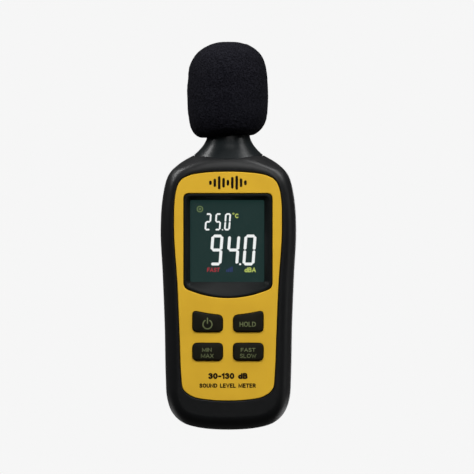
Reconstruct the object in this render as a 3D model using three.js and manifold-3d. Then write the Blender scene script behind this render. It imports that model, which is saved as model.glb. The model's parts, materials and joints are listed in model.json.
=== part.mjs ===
// Hand-held sound level meter: a two-shell casing with a coloured face plate, a recessed
// colour display, four rubber keys, a microphone on a flared neck under a foam windscreen,
// and three AAA cells behind a sliding cover.
//
// Sizes are millimetres. +X is to the user's right, +Y runs from the front face to the back
// and +Z runs up the meter to the microphone. The shapes below are written with z = 0 at the
// foot of the casing and y = 0 on the parting plane. The exported group is then shifted, so
// that the part's origin is the mouth of the tripod socket in the back.

import * as THREE from "three";
import { LoftGeometry } from "three/addons/geometries/LoftGeometry.js";
import { ConvexGeometry } from "three/addons/geometries/ConvexGeometry.js";
import { mergeVertices } from "three/addons/utils/BufferGeometryUtils.js";
import Module from "manifold-3d";

const wasm = await Module();
wasm.setup();

// ---------------------------------------------------------------- driving dimensions

const CASE = {
  halfDepth: 16,
  edgeHalf: 7, // half the straight band round the sides
  height: 115.8,
  halfWidth: 27.9,
  wall: 2.2,
  frontWall: 2.4,
  partingGap: 0.1,
};
const FRONT = -CASE.halfDepth;
const BACK = CASE.halfDepth;
const INNER_FRONT = FRONT + CASE.frontWall;

// Right half of each outline as [x, z], from the foot to the top. They are closed splines.
const SILHOUETTE = [
  [0, 0], [12.5, 0.95], [19.0, 3.1], [23.1, 7.1], [25.2, 13.0], [25.8, 22], [26.2, 42],
  [27.0, 63], [27.9, 82], [27.0, 96], [24.6, 105], [20.2, 109.8], [13.8, 113.6], [7, 115.3],
  [0, 115.8],
];
const FACE_EDGE = [
  [0, 5.6], [11.5, 6.4], [16.5, 8.0], [19.2, 11.0], [20.2, 15], [20.4, 22], [20.8, 42],
  [21.6, 63], [22.8, 82], [22.2, 94], [20.7, 101.6], [16.6, 105.4], [10.6, 106.9], [5, 107.3],
  [0, 107.4],
];
const PANEL_EDGE = [
  [0, 12.1], [8, 12.5], [14.5, 13.8], [18.35, 16.9], [19.15, 22], [19.9, 40], [20.75, 60],
  [22.15, 82], [21.4, 98], [19.3, 102.7], [15.4, 104.8], [8, 105.9], [0, 106.2],
];

const PANEL = { front: FRONT - 0.05, back: FRONT + 1.35, recessFloor: FRONT + 1.6, gap: 0.3 };

const WINDOW = { halfWidth: 18.35, top: 97.4, side: 58.2, bottom: 54.2, corner: 2.4 };
const DISPLAY = { halfWidth: 15.4, bottom: 60.9, top: 94.6 };
const BEZEL = {
  front: FRONT + 0.1,
  step: INNER_FRONT + 0.3,
  back: FRONT + 4.1,
  rim: 0.45,
  gap: 0.3,
  flange: 1.2,
  funnelFloor: FRONT + 2.5,
  pocketFloor: FRONT + 3.0,
};
const LENS = { halfWidth: 16.6, bottom: 59.7, top: 95.8, clearance: 0.3 };

const KEY = {
  centre: 8.35,
  halfWidth: 6.1,
  corner: 1.9,
  lip: 0.9,
  lipThickness: 0.8,
  front: FRONT - 1.0,
  back: FRONT + 3.6,
  crown: 0.55,
  holeGap: 0.3,
  stemRadius: 3,
  stemBack: FRONT + 7.6,
  pillRadius: 2.2,
  pillGap: 0.3,
  pillThickness: 0.5,
};
// One entry for each key: which side it is on and its lower edge and upper edge. The upper
// pair is taller on the outside, following the curve of the display window.
const KEYS = [
  { name: "power", side: -1, bottom: 40.5, topInner: 47.1, topOuter: 48.9 },
  { name: "hold", side: 1, bottom: 40.5, topInner: 47.1, topOuter: 48.9 },
  { name: "min_max", side: -1, bottom: 28.7, topInner: 35.7, topOuter: 35.7 },
  { name: "fast_slow", side: 1, bottom: 28.7, topInner: 35.7, topOuter: 35.7 },
];
const MAT = { halfWidth: 16.6, bottom: 25.6, top: 51.4, front: -13.3, back: -12.1, gap: 1.4 };

// The display stack, from the glass back to the board.
const LCD_GLASS = { halfWidth: 17, bottom: 57, top: 97, front: -11.6, back: -9.8 };
const BACKLIGHT = { halfWidth: 16.6, bottom: 60, top: 95.8, front: -9.6, back: -7.4 };
const BACKLIGHT_LED = { halfWidth: 2.5, bottom: 96.2, top: 97.3, front: -9.3, back: -7.7 };
const ZEBRA_STRIP = { halfWidth: 15, bottom: 57.3, top: 59.3, front: -9.5, back: -6.8 };
const LCD_FRAME = { halfWidth: 18.9, bottom: 54.9, top: 98.9, front: -11.5, back: -6.8 };
const LCD_FRAME_WALL = 1.5;

const BOARD = { halfWidth: 21.6, bottom: 27.9, top: 98.6, front: -6.5, back: -4.9 };
const BOARD_POST = { x: 19, heights: [30, 51.8], radius: 2, hole: 1.1, back: -6.8 };
const BOARD_PARTS = [
  { name: "processor_chip", at: [0, 70], size: [10, 10], thickness: 1.5, look: "chip" },
  { name: "amplifier_chip", at: [9, 88], size: [5, 6], thickness: 1.5, look: "chip" },
  { name: "crystal", at: [-10, 80], size: [4, 9], thickness: 2.2, look: "steel" },
  { name: "thermistor", at: [-16, 95], size: [2, 3], thickness: 1.2, look: "chip" },
];
const CASE_SCREWS = [[16.5, 101.5], [21, 24]]; // each is made on both sides
const SCREW_BOSS = {
  frontRadius: 2.4,
  rearRadius: 3.3,
  pilot: 1.25,
  pilotEnd: -9,
  through: 1.4,
  counterbore: 2.4,
  floor: 6,
};
const CASE_SCREW = { tip: -8, seat: 6.2, shank: 1.0, head: 2.2, headHeight: 1.6, cross: 1.3 };
const BOARD_SCREW = { tip: -11, seat: -4.8, shank: 0.85, head: 1.7, headHeight: 1.2, cross: 1 };
const CROSS = { halfWidth: 0.25, depth: 0.7 }; // the recess in a screw's head

const NECK = {
  seatRadius: 14.4,
  seatFloor: 109.5,
  spigotHole: 12.9,
  spigotRadius: 12.6,
  spigotBottom: 104,
  bore: 7.6,
  // The flare, from the seam up to the foam, as [radius, z].
  flare: [[14.2, 109.8], [14.2, 112.8], [12.7, 114.3], [11.0, 116.4], [9.7, 118.5], [9.0, 120.2]],
};
const MIC = { radius: 6.35, bore: 5.6, bottom: 104.5, top: 143, gap: 0.2 };
const GRID = { thickness: 1.8, hole: 1.1, ring: 3.6, ringHoles: 6 };
const CAPSULE = { radius: 4.9, bottom: 136.6, top: 142.6 };
const GROMMET = { bottom: 112, top: 116, gap: 0.2 };
const SCREEN = {
  bore: 6.7,
  bottom: 120.5,
  boreTop: 145.8,
  // The foam's outside, from its lower edge to its crown, as [radius, z].
  skin: [
    [9.6, 120.5], [11.4, 120.8], [13.6, 122.3], [15.3, 125.5], [16.2, 129.5], [16.65, 136.5],
    [16.4, 144], [15.6, 149.9], [13.2, 154.9], [9.0, 158.2], [4.4, 159.7], [0, 160],
  ],
  steps: 15,
};

const BAY = { halfWidth: 16.2, bottom: 7.4, top: 60.6, floor: 2.2, wall: 1.2 };
const CELL = {
  radius: 5.25,
  length: 44.5,
  nub: 1.9,
  nubLength: 0.9,
  edge: 0.4,
  y: 7.9,
  pitch: 10.7,
};
const SPRING = { radius: 3.2, taper: 0.25, wire: 0.4, length: 6.4, turns: 3, steps: 9, sides: 5 };
const CONTACT = { thickness: 0.5, inset: 0.2, front: 2.5, back: 12.5, halfWidth: 4.2 };
const TAIL = { halfWidth: 1, slotHalfWidth: 1.4, slotHeight: 1, front: 0.2 };
const TOUCH = 0.3; // between things that rest on each other

const COVER = { halfWidth: 16.9, bottom: 4.2, top: 62, inner: 13.6, gap: 0.3 };
const RAIL = { width: 1.0, front: 14.0, back: 14.7, bottom: 10, top: 58.2, clearance: 0.25 };
const RAIL_RIB = { inner: 17.2, outer: 19, front: 11.5 };
const GRIP = { rows: 5, pitch: 2, first: 7, halfWidth: 6, groove: 0.5 };

const TRIPOD = { z: 84, outer: 5.5, bore: 3.2, front: 8.5, bossRadius: 8, bossFront: 7.5 };

// Leads as routes of [x, y, z] points.
const LEADS = [
  {
    name: "mic_lead",
    radius: 0.8,
    look: "blackLead",
    route: [
      [0, 0, 136.3], [0, 0, 122], [0, 0, 108], [0, -2.2, 100], [3, -3.7, 93], [6, -3.9, 88.5],
    ],
  },
  {
    name: "battery_lead_red",
    radius: 0.6,
    look: "redLead",
    route: [[-10.7, -0.7, 60.1], [-10.9, -2.2, 61.5], [-11, -3.9, 65]],
  },
  {
    name: "battery_lead_black",
    radius: 0.6,
    look: "blackLead",
    route: [[10.7, -0.7, 7.9], [11, -2.6, 15], [11, -3.9, 33]],
  },
];

const FACETS = { seat: 40, foam: 28, tube: 24, cell: 18, boss: 14, post: 12, screw: 10, hole: 8 };
const FAR = 60; // past every face of the casing
const SKY = CASE.height + FAR;

// ---------------------------------------------------------------- materials

function material(color, roughness, metalness = 0) {
  return new THREE.MeshStandardMaterial({ color, roughness, metalness });
}

const MATERIALS = {
  casing: material(0x1a1b1d, 0.5),
  panel: material(0xd0a428, 0.45),
  bezel: material(0x141518, 0.3),
  lens: material(0xdfe6e6, 0.05),
  lcd: material(0x21332f, 0.25),
  backlight: material(0xf2f4ee, 0.5),
  holder: material(0xe4e4df, 0.6),
  zebra: material(0x8a8f96, 0.8),
  rubber: material(0x222320, 0.75),
  carbon: material(0x0c0c0c, 0.9),
  board: material(0x1f5a34, 0.55),
  chip: material(0x151515, 0.5),
  steel: material(0xb8babd, 0.3, 1),
  brass: material(0xc9a24b, 0.35, 1),
  neck: material(0x2a2d2e, 0.35),
  tube: material(0x2b2c2e, 0.4, 0.8),
  foam: material(0x121214, 0.95),
  cell: material(0x35678c, 0.4),
  redLead: material(0xb01c1c, 0.5),
  blackLead: material(0x101010, 0.5),
};

// ---------------------------------------------------------------- solids

// A closed three.js geometry as a solid that can be joined and cut.
function solid(geometry) {
  const bare = new THREE.BufferGeometry().copy(geometry);
  bare.deleteAttribute("normal");
  bare.deleteAttribute("uv");
  const merged = mergeVertices(bare, 1e-4);
  return new wasm.Manifold(
    new wasm.Mesh({
      numProp: 3,
      vertProperties: new Float32Array(merged.attributes.position.array),
      triVerts: new Uint32Array(merged.index.array),
    }),
  );
}

// A named mesh from a solid.
function piece(name, made, look) {
  const { vertProperties, triVerts } = made.getMesh();
  const geometry = new THREE.BufferGeometry();
  geometry.setAttribute("position", new THREE.BufferAttribute(vertProperties, 3));
  geometry.setIndex(new THREE.BufferAttribute(triVerts, 1));
  geometry.computeVertexNormals();
  const mesh = new THREE.Mesh(geometry, look);
  mesh.name = name;
  return mesh;
}

// A box between two corners.
function block([x0, x1], [y0, y1], [z0, z1]) {
  const box = new THREE.BoxGeometry(x1 - x0, y1 - y0, z1 - z0);
  return solid(box.translate((x0 + x1) / 2, (y0 + y1) / 2, (z0 + z1) / 2));
}

// A box that is the same on both sides of the middle.
function slab({ halfWidth, bottom, top, front, back }) {
  return block([-halfWidth, halfWidth], [front, back], [bottom, top]);
}

// A flat plate: an outline in x and z, between two depths.
function plate(shape, front, back, curveSegments = 6) {
  const options = { depth: back - front, bevelEnabled: false, curveSegments };
  const extruded = new THREE.ExtrudeGeometry(shape, options);
  return solid(extruded.rotateX(Math.PI / 2).translate(0, back, 0));
}

// The outline of a turned body, from a closed profile of [radius, distance along] points.
function turningOutline(profile) {
  const points = profile.map(([radius, along]) => new THREE.Vector2(radius, along));
  if (THREE.ShapeUtils.area(points) < 0) points.reverse();
  return points[0].x > 0 ? [...points, points[0].clone()] : points;
}

// A body turned about a line through the depth of the meter.
function turnedAlongY(profile, x, z, facets) {
  const lathe = new THREE.LatheGeometry(turningOutline(profile), facets);
  return solid(lathe.translate(x, 0, z));
}

// A body turned about a line up the meter.
function turnedAlongZ(profile, facets, x = 0, y = 0) {
  const lathe = new THREE.LatheGeometry(turningOutline(profile), facets);
  return solid(lathe.rotateX(Math.PI / 2).translate(x, y, 0));
}

function rodAlongY(radius, front, back, x, z, facets) {
  return turnedAlongY([[0, front], [radius, front], [radius, back], [0, back]], x, z, facets);
}

function rodAlongZ(radius, bottom, top, facets, x = 0, y = 0) {
  const profile = [[0, bottom], [radius, bottom], [radius, top], [0, top]];
  return turnedAlongZ(profile, facets, x, y);
}

// A wire or lead of round section along a smooth route.
function wire(route, radius, steps, sides) {
  const section = new THREE.Shape();
  for (let i = 0; i < sides; i += 1) {
    const angle = (i / sides) * 2 * Math.PI;
    const corner = [radius * Math.cos(angle), radius * Math.sin(angle)];
    if (i === 0) section.moveTo(...corner);
    else section.lineTo(...corner);
  }
  const options = { extrudePath: route, steps, bevelEnabled: false, curveSegments: 1 };
  return solid(new THREE.ExtrudeGeometry(section, options));
}

// ---------------------------------------------------------------- outlines

// A closed spline through a right half and its mirror image.
function mirroredSpline(half) {
  const left = half.slice(1, -1).reverse().map(([x, z]) => [-x, z]);
  const points = [...half, ...left].map(([x, z]) => new THREE.Vector3(x, z, 0));
  return new THREE.CatmullRomCurve3(points, true, "centripetal");
}

// The shape inside a closed spline, moved outwards by a distance.
function splineShape(half, grow, perStation = 2) {
  const curve = mirroredSpline(half);
  const count = curve.points.length * perStation;
  const points = [];
  for (let i = 0; i < count; i += 1) {
    const at = curve.getPoint(i / count);
    const along = curve.getTangent(i / count);
    points.push(new THREE.Vector2(at.x + along.y * grow, at.y - along.x * grow));
  }
  return new THREE.Shape(points);
}

// A polygon with its corners rounded off.
function roundedPolygon(corners, radius) {
  const shape = new THREE.Shape();
  corners.forEach((corner, i) => {
    const at = new THREE.Vector2(...corner);
    const before = new THREE.Vector2(...corners.at(i - 1));
    const after = new THREE.Vector2(...corners[(i + 1) % corners.length]);
    const start = before.sub(at).setLength(radius).add(at);
    const end = after.sub(at).setLength(radius).add(at);
    if (i === 0) shape.moveTo(start.x, start.y);
    else shape.lineTo(start.x, start.y);
    shape.quadraticCurveTo(at.x, at.y, end.x, end.y);
  });
  shape.closePath();
  return shape;
}

function rectangle(halfWidth, bottom, top, radius) {
  const corners = [[-halfWidth, bottom], [halfWidth, bottom], [halfWidth, top], [-halfWidth, top]];
  return roundedPolygon(corners, radius);
}

// The display window: straight sides, small top corners and a bowed lower edge.
function windowShape(grow) {
  const half = WINDOW.halfWidth + grow;
  const top = WINDOW.top + grow;
  const side = WINDOW.side - grow;
  const bottom = WINDOW.bottom - grow;
  const r = WINDOW.corner;
  const bowEnd = side - 0.35 * r;
  const shape = new THREE.Shape();
  shape.moveTo(-half + r, bowEnd);
  shape.quadraticCurveTo(0, 2 * bottom - bowEnd, half - r, bowEnd);
  shape.quadraticCurveTo(half, side, half, side + r);
  shape.lineTo(half, top - r);
  shape.quadraticCurveTo(half, top, half - r, top);
  shape.lineTo(-half + r, top);
  shape.quadraticCurveTo(-half, top, -half, top - r);
  shape.lineTo(-half, side + r);
  shape.quadraticCurveTo(-half, side, -half + r, bowEnd);
  return shape;
}

// One key's outline. The inner side is the one towards the middle of the meter.
function keyShape({ side, bottom, topInner, topOuter }, grow) {
  const inner = side * (KEY.centre - KEY.halfWidth - grow);
  const outer = side * (KEY.centre + KEY.halfWidth + grow);
  const corners = [
    [inner, bottom - grow], [outer, bottom - grow],
    [outer, topOuter + grow], [inner, topInner + grow],
  ];
  if (side < 0) corners.reverse();
  return roundedPolygon(corners, KEY.corner + grow);
}

// ---------------------------------------------------------------- casing

// The pillow-shaped outside of the casing: a flat front and back whose edges roll off to
// the silhouette. The roll is a quarter ellipse.
function pillow(perStation, rollSteps) {
  const silhouette = mirroredSpline(SILHOUETTE);
  const face = mirroredSpline(FACE_EDGE);
  const count = silhouette.points.length * perStation;
  const roll = CASE.halfDepth - CASE.edgeHalf;
  const rings = [];
  for (let step = 0; step <= rollSteps; step += 1) {
    const angle = (step / rollSteps) * (Math.PI / 2);
    rings.push({ blend: Math.sin(angle), y: CASE.edgeHalf + roll * Math.cos(angle) });
  }
  const levels = [
    ...rings.map(({ blend, y }) => ({ blend, y: -y })),
    ...rings.toReversed(),
  ];
  const sections = levels.map(({ blend, y }) => {
    const ring = [];
    for (let i = 0; i < count; i += 1) {
      const at = face.getPoint(i / count).lerp(silhouette.getPoint(i / count), blend);
      ring.push(new THREE.Vector3(at.x, y, at.y));
    }
    return ring.reverse();
  });
  return new LoftGeometry(sections, { capStart: true, capEnd: true });
}

// The casing's hollow: the same pillow, scaled down about its middle by the wall.
function hollow() {
  const middle = CASE.height / 2;
  return pillow(1, 3)
    .translate(0, 0, -middle)
    .scale(
      (CASE.halfWidth - CASE.wall) / CASE.halfWidth,
      (CASE.halfDepth - CASE.frontWall) / CASE.halfDepth,
      (middle - CASE.wall) / middle,
    )
    .translate(0, 0, middle);
}

const outside = solid(pillow(2, 4));
const inside = solid(hollow());
// Both halves open at the top for the neck.
function cutNeckSeat(shell) {
  return shell
    .subtract(rodAlongZ(NECK.seatRadius, NECK.seatFloor, SKY, FACETS.seat))
    .subtract(rodAlongZ(NECK.spigotHole, NECK.spigotBottom, SKY, FACETS.seat));
}

function onBothSides(places) {
  return places.flatMap(([x, z]) => [[-x, z], [x, z]]);
}

function boardPosts() {
  return onBothSides(BOARD_POST.heights.map((z) => [BOARD_POST.x, z]));
}

function frontCasing() {
  const keep = block([-FAR, FAR], [-FAR, -CASE.partingGap], [-FAR, SKY]);
  let shell = outside.subtract(inside).intersect(keep);
  for (const [x, z] of onBothSides(CASE_SCREWS)) {
    const { frontRadius, pilot, pilotEnd } = SCREW_BOSS;
    const boss = rodAlongY(frontRadius, FRONT, -CASE.partingGap, x, z, FACETS.post);
    shell = shell
      .add(boss.intersect(outside))
      .subtract(rodAlongY(pilot, pilotEnd, BACK, x, z, FACETS.hole));
  }
  for (const [x, z] of boardPosts()) {
    const { radius, hole, back } = BOARD_POST;
    shell = shell
      .add(rodAlongY(radius, INNER_FRONT - TOUCH, back, x, z, FACETS.post))
      .subtract(rodAlongY(hole, INNER_FRONT + 1, BACK, x, z, FACETS.hole));
  }
  shell = cutNeckSeat(shell)
    .subtract(plate(splineShape(PANEL_EDGE, PANEL.gap), -FAR, PANEL.recessFloor))
    .subtract(plate(windowShape(0), -FAR, INNER_FRONT + 1));
  for (const key of KEYS) {
    shell = shell.subtract(plate(keyShape(key, KEY.holeGap), -FAR, INNER_FRONT + 1, 2));
  }
  return shell;
}

function rearCasing() {
  const keep = block([-FAR, FAR], [CASE.partingGap, FAR], [-FAR, SKY]);
  let shell = outside.subtract(inside).intersect(keep).add(bayWalls().intersect(outside));
  for (const [x, z] of onBothSides(CASE_SCREWS)) {
    const boss = rodAlongY(SCREW_BOSS.rearRadius, CASE.partingGap, BACK, x, z, FACETS.boss);
    shell = shell.add(boss.intersect(outside));
  }
  const { z: tripodHeight, outer, front, bossRadius, bossFront } = TRIPOD;
  shell = shell
    .add(rodAlongY(bossRadius, bossFront, BACK - 1, 0, tripodHeight, FACETS.tube))
    .subtract(rodAlongY(outer + TOUCH, front - TOUCH, FAR, 0, tripodHeight, FACETS.tube))
    .subtract(slab({ ...BAY, front: BAY.floor, back: FAR }))
    .subtract(coverOpening())
    .subtract(tailSlot(-CELL.pitch, BAY.top - TAIL.slotHeight))
    .subtract(tailSlot(CELL.pitch, BAY.bottom));
  for (const [x, z] of onBothSides(CASE_SCREWS)) {
    const { through, counterbore, floor } = SCREW_BOSS;
    shell = shell
      .subtract(rodAlongY(through, FRONT, BACK, x, z, FACETS.hole))
      .subtract(rodAlongY(counterbore, floor, FAR, x, z, FACETS.boss));
  }
  return cutNeckSeat(shell);
}

// The battery bay before it is hollowed: a block, with a rib on each side for the cover's
// groove.
function bayWalls() {
  const back = COVER.inner + 0.4;
  const heights = { bottom: BAY.bottom - BAY.wall, top: BAY.top + BAY.wall, back };
  const walls = slab({
    ...heights,
    halfWidth: BAY.halfWidth + BAY.wall,
    front: BAY.floor - BAY.wall,
  });
  const ribs = slab({ ...heights, halfWidth: RAIL_RIB.outer, front: RAIL_RIB.front });
  const between = slab({ ...heights, halfWidth: RAIL_RIB.inner, front: RAIL_RIB.front });
  return walls.add(ribs.subtract(between));
}

// Where the cover goes: its plate with a gap all round, open at the foot, and a groove on
// each side for its rails.
function coverOpening() {
  const half = COVER.halfWidth + COVER.gap;
  const top = COVER.top + COVER.gap;
  const opening = block([-half, half], [COVER.inner - COVER.gap, FAR], [-FAR, top]);
  const reach = COVER.halfWidth + RAIL.width + RAIL.clearance;
  const groove = block(
    [-reach, reach],
    [RAIL.front - RAIL.clearance, RAIL.back + RAIL.clearance],
    [-FAR, RAIL.top + RAIL.clearance],
  );
  return opening.add(groove);
}

// A slot in the bay's floor that a contact's solder tail goes through.
function tailSlot(x, bottom) {
  const { slotHalfWidth, slotHeight } = TAIL;
  return block(
    [x - slotHalfWidth, x + slotHalfWidth],
    [BAY.floor - BAY.wall - 1, BAY.floor + 1],
    [bottom, bottom + slotHeight],
  );
}

function batteryCover() {
  const body = slab({ ...COVER, front: COVER.inner, back: FAR }).intersect(outside);
  let cover = body.add(slab({ ...RAIL, halfWidth: COVER.halfWidth + RAIL.width }));
  // Thumb grip: a row of grooves across the upper end.
  const { rows, pitch, first, halfWidth, groove } = GRIP;
  for (let row = 0; row < rows; row += 1) {
    const bottom = COVER.top - first - row * pitch - groove;
    const top = bottom + 2 * groove;
    cover = cover.subtract(slab({ halfWidth, bottom, top, front: BACK - groove, back: FAR }));
  }
  return cover;
}

// ---------------------------------------------------------------- face and display

function frontPanel() {
  const shape = splineShape(PANEL_EDGE, 0);
  shape.holes.push(new THREE.Path(windowShape(0).getPoints(6)));
  for (const key of KEYS) {
    shape.holes.push(new THREE.Path(keyShape(key, KEY.holeGap).getPoints(2)));
  }
  return plate(shape, PANEL.front, PANEL.back);
}

function displayBezel() {
  const at = (shape, y) => shape.getPoints(6).map((p) => new THREE.Vector3(p.x, y, p.y));
  const opening = rectangle(DISPLAY.halfWidth, DISPLAY.bottom, DISPLAY.top, 0.8);
  // The sides slope from the rim down to the display.
  const funnel = solid(
    new ConvexGeometry([
      ...at(windowShape(-BEZEL.gap - BEZEL.rim), BEZEL.front - 0.2),
      ...at(opening, BEZEL.funnelFloor),
    ]),
  );
  return plate(windowShape(-BEZEL.gap), BEZEL.front, BEZEL.back - 0.5)
    .add(plate(windowShape(BEZEL.flange), BEZEL.step, BEZEL.back))
    .subtract(funnel)
    .subtract(plate(opening, BEZEL.funnelFloor - 0.1, BEZEL.back + 1))
    .subtract(lensPlate(LENS.clearance, BEZEL.pocketFloor, BEZEL.back + 1));
}

function lensPlate(grow, front, back) {
  return plate(
    rectangle(LENS.halfWidth + grow, LENS.bottom - grow, LENS.top + grow, 1),
    front,
    back,
    2,
  );
}

function lcdFrame() {
  const { halfWidth, bottom, top } = LCD_FRAME;
  const opening = slab({
    halfWidth: halfWidth - LCD_FRAME_WALL,
    bottom: bottom + LCD_FRAME_WALL,
    top: top - LCD_FRAME_WALL,
    front: FRONT,
    back: BACK,
  });
  return slab(LCD_FRAME).subtract(opening);
}

// ---------------------------------------------------------------- keys

function keypadMat() {
  const shape = rectangle(MAT.halfWidth, MAT.bottom, MAT.top, 2);
  for (const key of KEYS) {
    shape.holes.push(new THREE.Path(keyShape(key, MAT.gap).getPoints(2)));
  }
  return plate(shape, MAT.front, MAT.back, 2);
}

// A rubber key with a softened top edge, a lip that holds it behind the casing's wall, and
// the stem that presses the contact.
function keyCap(key) {
  const bevel = KEY.crown;
  const options = {
    depth: KEY.back - KEY.front - bevel,
    bevelEnabled: true,
    bevelThickness: bevel,
    bevelSize: bevel,
    bevelOffset: -bevel,
    bevelSegments: 2,
    curveSegments: 2,
  };
  const extruded = new THREE.ExtrudeGeometry(keyShape(key, 0), options);
  const cap = solid(extruded.rotateX(Math.PI / 2).translate(0, KEY.back - bevel, 0));
  const { x, z } = keyCentre(key);
  const tail = block([-FAR, FAR], [KEY.back - bevel, FAR], [-FAR, FAR]);
  const lipFront = INNER_FRONT + 0.3;
  return cap
    .subtract(tail)
    .add(plate(keyShape(key, KEY.lip), lipFront, lipFront + KEY.lipThickness, 2))
    .add(rodAlongY(KEY.stemRadius, lipFront, KEY.stemBack, x, z, FACETS.post));
}

function keyCentre({ side, bottom, topInner }) {
  return { x: side * KEY.centre, z: (bottom + topInner) / 2 };
}

function keyPill(key) {
  const { x, z } = keyCentre(key);
  const front = KEY.stemBack + KEY.pillGap;
  return rodAlongY(KEY.pillRadius, front, front + KEY.pillThickness, x, z, FACETS.screw);
}

// ---------------------------------------------------------------- electronics

function mainBoard() {
  let board = slab(BOARD);
  for (const [x, z] of boardPosts()) {
    board = board.subtract(rodAlongY(BOARD_POST.hole + TOUCH, FRONT, BACK, x, z, FACETS.hole));
  }
  return board;
}

// A component on the back of the board.
function boardPart({ at: [x, z], size: [width, height], thickness }) {
  const front = BOARD.back + 0.1;
  return block(
    [x - width / 2, x + width / 2],
    [front, front + thickness],
    [z - height / 2, z + height / 2],
  );
}

// A screw pointing to the front, with a cross recess in its head.
function screw(x, z, { tip, seat, shank, head, headHeight, cross }) {
  const end = seat + headHeight;
  const profile = [[0, tip], [shank, tip], [shank, seat], [head, seat], [head, end], [0, end]];
  const depth = [end - CROSS.depth, end + 1];
  const arm = CROSS.halfWidth;
  return turnedAlongY(profile, x, z, FACETS.screw)
    .subtract(block([x - cross, x + cross], depth, [z - arm, z + arm]))
    .subtract(block([x - arm, x + arm], depth, [z - cross, z + cross]));
}

// ---------------------------------------------------------------- microphone

function neckCollar() {
  const { bore, spigotRadius, spigotBottom, flare } = NECK;
  const spigot = [[bore, spigotBottom], [spigotRadius, spigotBottom], [spigotRadius, flare[0][1]]];
  return turnedAlongZ([...spigot, ...flare, [bore, flare.at(-1)[1]]], FACETS.seat);
}

function tube(bore, radius, bottom, top) {
  return turnedAlongZ([[bore, bottom], [radius, bottom], [radius, top], [bore, top]], FACETS.tube);
}

// The perforated cap over the microphone capsule.
function micGrid() {
  const bottom = MIC.top + MIC.gap;
  const hole = (x, y) => rodAlongZ(GRID.hole, MIC.top, SKY, FACETS.hole, x, y);
  let grid = rodAlongZ(MIC.radius, bottom, bottom + GRID.thickness, FACETS.tube);
  grid = grid.subtract(hole(0, 0));
  for (let i = 0; i < GRID.ringHoles; i += 1) {
    const angle = (i / GRID.ringHoles) * 2 * Math.PI;
    grid = grid.subtract(hole(GRID.ring * Math.cos(angle), GRID.ring * Math.sin(angle)));
  }
  return grid;
}

function windscreen() {
  const { bore, bottom, boreTop, skin, steps } = SCREEN;
  const spline = new THREE.SplineCurve(skin.map(([r, z]) => new THREE.Vector2(r, z)));
  const outer = spline.getPoints(steps).map(({ x, y }) => [x, y]);
  return turnedAlongZ([[0, boreTop], [bore, boreTop], [bore, bottom], ...outer], FACETS.foam);
}

// ---------------------------------------------------------------- power

// An AAA cell, with its nub up or down.
function cell(x, bottom, nubUp) {
  const { radius, length, nub, nubLength, edge, y } = CELL;
  const shoulder = length - nubLength;
  const profile = [
    [0, 0], [radius - edge, 0], [radius, edge], [radius, shoulder - edge],
    [radius - edge, shoulder], [nub, shoulder], [nub, length], [0, length],
  ];
  const along = (z) => (nubUp ? bottom + z : bottom + length - z);
  return turnedAlongZ(profile.map(([r, z]) => [r, along(z)]), FACETS.cell, x, y);
}

// A conical spring of round wire.
function coil(x, bottom) {
  const { radius, taper, wire: gauge, length, turns, steps, sides } = SPRING;
  class Helix extends THREE.Curve {
    getPoint(t) {
      const angle = 2 * Math.PI * turns * t;
      const r = radius * (1 - taper * t);
      const z = bottom + gauge + (length - 2 * gauge) * t;
      return new THREE.Vector3(x + r * Math.cos(angle), CELL.y + r * Math.sin(angle), z);
    }
  }
  return wire(new Helix(), gauge, turns * steps, sides);
}

// A contact plate that reaches from one cell to another.
function contact(firstX, lastX, z) {
  const { front, back, thickness, halfWidth } = CONTACT;
  return block([firstX - halfWidth, lastX + halfWidth], [front, back], [z, z + thickness]);
}

// The solder tail that takes a contact through the bay's floor.
function tail(x, z) {
  return block(
    [x - TAIL.halfWidth, x + TAIL.halfWidth],
    [TAIL.front, CONTACT.front + 1],
    [z, z + CONTACT.thickness],
  );
}

function lead({ route, radius }) {
  const curve = new THREE.CatmullRomCurve3(route.map((point) => new THREE.Vector3(...point)));
  return wire(curve, radius, 10, 6);
}

// ---------------------------------------------------------------- assembly

const meter = new THREE.Group();
const add = (name, made, look) => meter.add(piece(name, made, MATERIALS[look]));

add("front_casing", frontCasing(), "casing");
add("rear_casing", rearCasing(), "casing");
onBothSides(CASE_SCREWS).forEach(([x, z], i) => {
  add(`case_screw_${i + 1}`, screw(x, z, CASE_SCREW), "steel");
});
const { z: socketHeight, bore: socketBore, outer: socketOuter, front: socketFront } = TRIPOD;
const insertBack = BACK - 0.1;
add(
  "tripod_insert",
  turnedAlongY(
    [[socketBore, socketFront], [socketOuter, socketFront], [socketOuter, insertBack],
      [socketBore, insertBack]],
    0,
    socketHeight,
    FACETS.tube,
  ),
  "brass",
);

add("front_panel", frontPanel(), "panel");
add("display_bezel", displayBezel(), "bezel");
add("display_lens", lensPlate(0, BEZEL.pocketFloor + 0.1, BEZEL.back - 0.05), "lens");
add("lcd_glass", slab(LCD_GLASS), "lcd");
add("backlight", slab(BACKLIGHT), "backlight");
add("backlight_led", slab(BACKLIGHT_LED), "holder");
add("lcd_frame", lcdFrame(), "holder");
add("zebra_strip", slab(ZEBRA_STRIP), "zebra");

add("keypad_mat", keypadMat(), "rubber");
for (const key of KEYS) {
  add(`key_${key.name}`, keyCap(key), "rubber");
  add(`contact_pill_${key.name}`, keyPill(key), "carbon");
}

add("main_board", mainBoard(), "board");
for (const part of BOARD_PARTS) {
  add(part.name, boardPart(part), part.look);
}
boardPosts().forEach(([x, z], i) => {
  add(`board_screw_${i + 1}`, screw(x, z, BOARD_SCREW), "steel");
});

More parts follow.
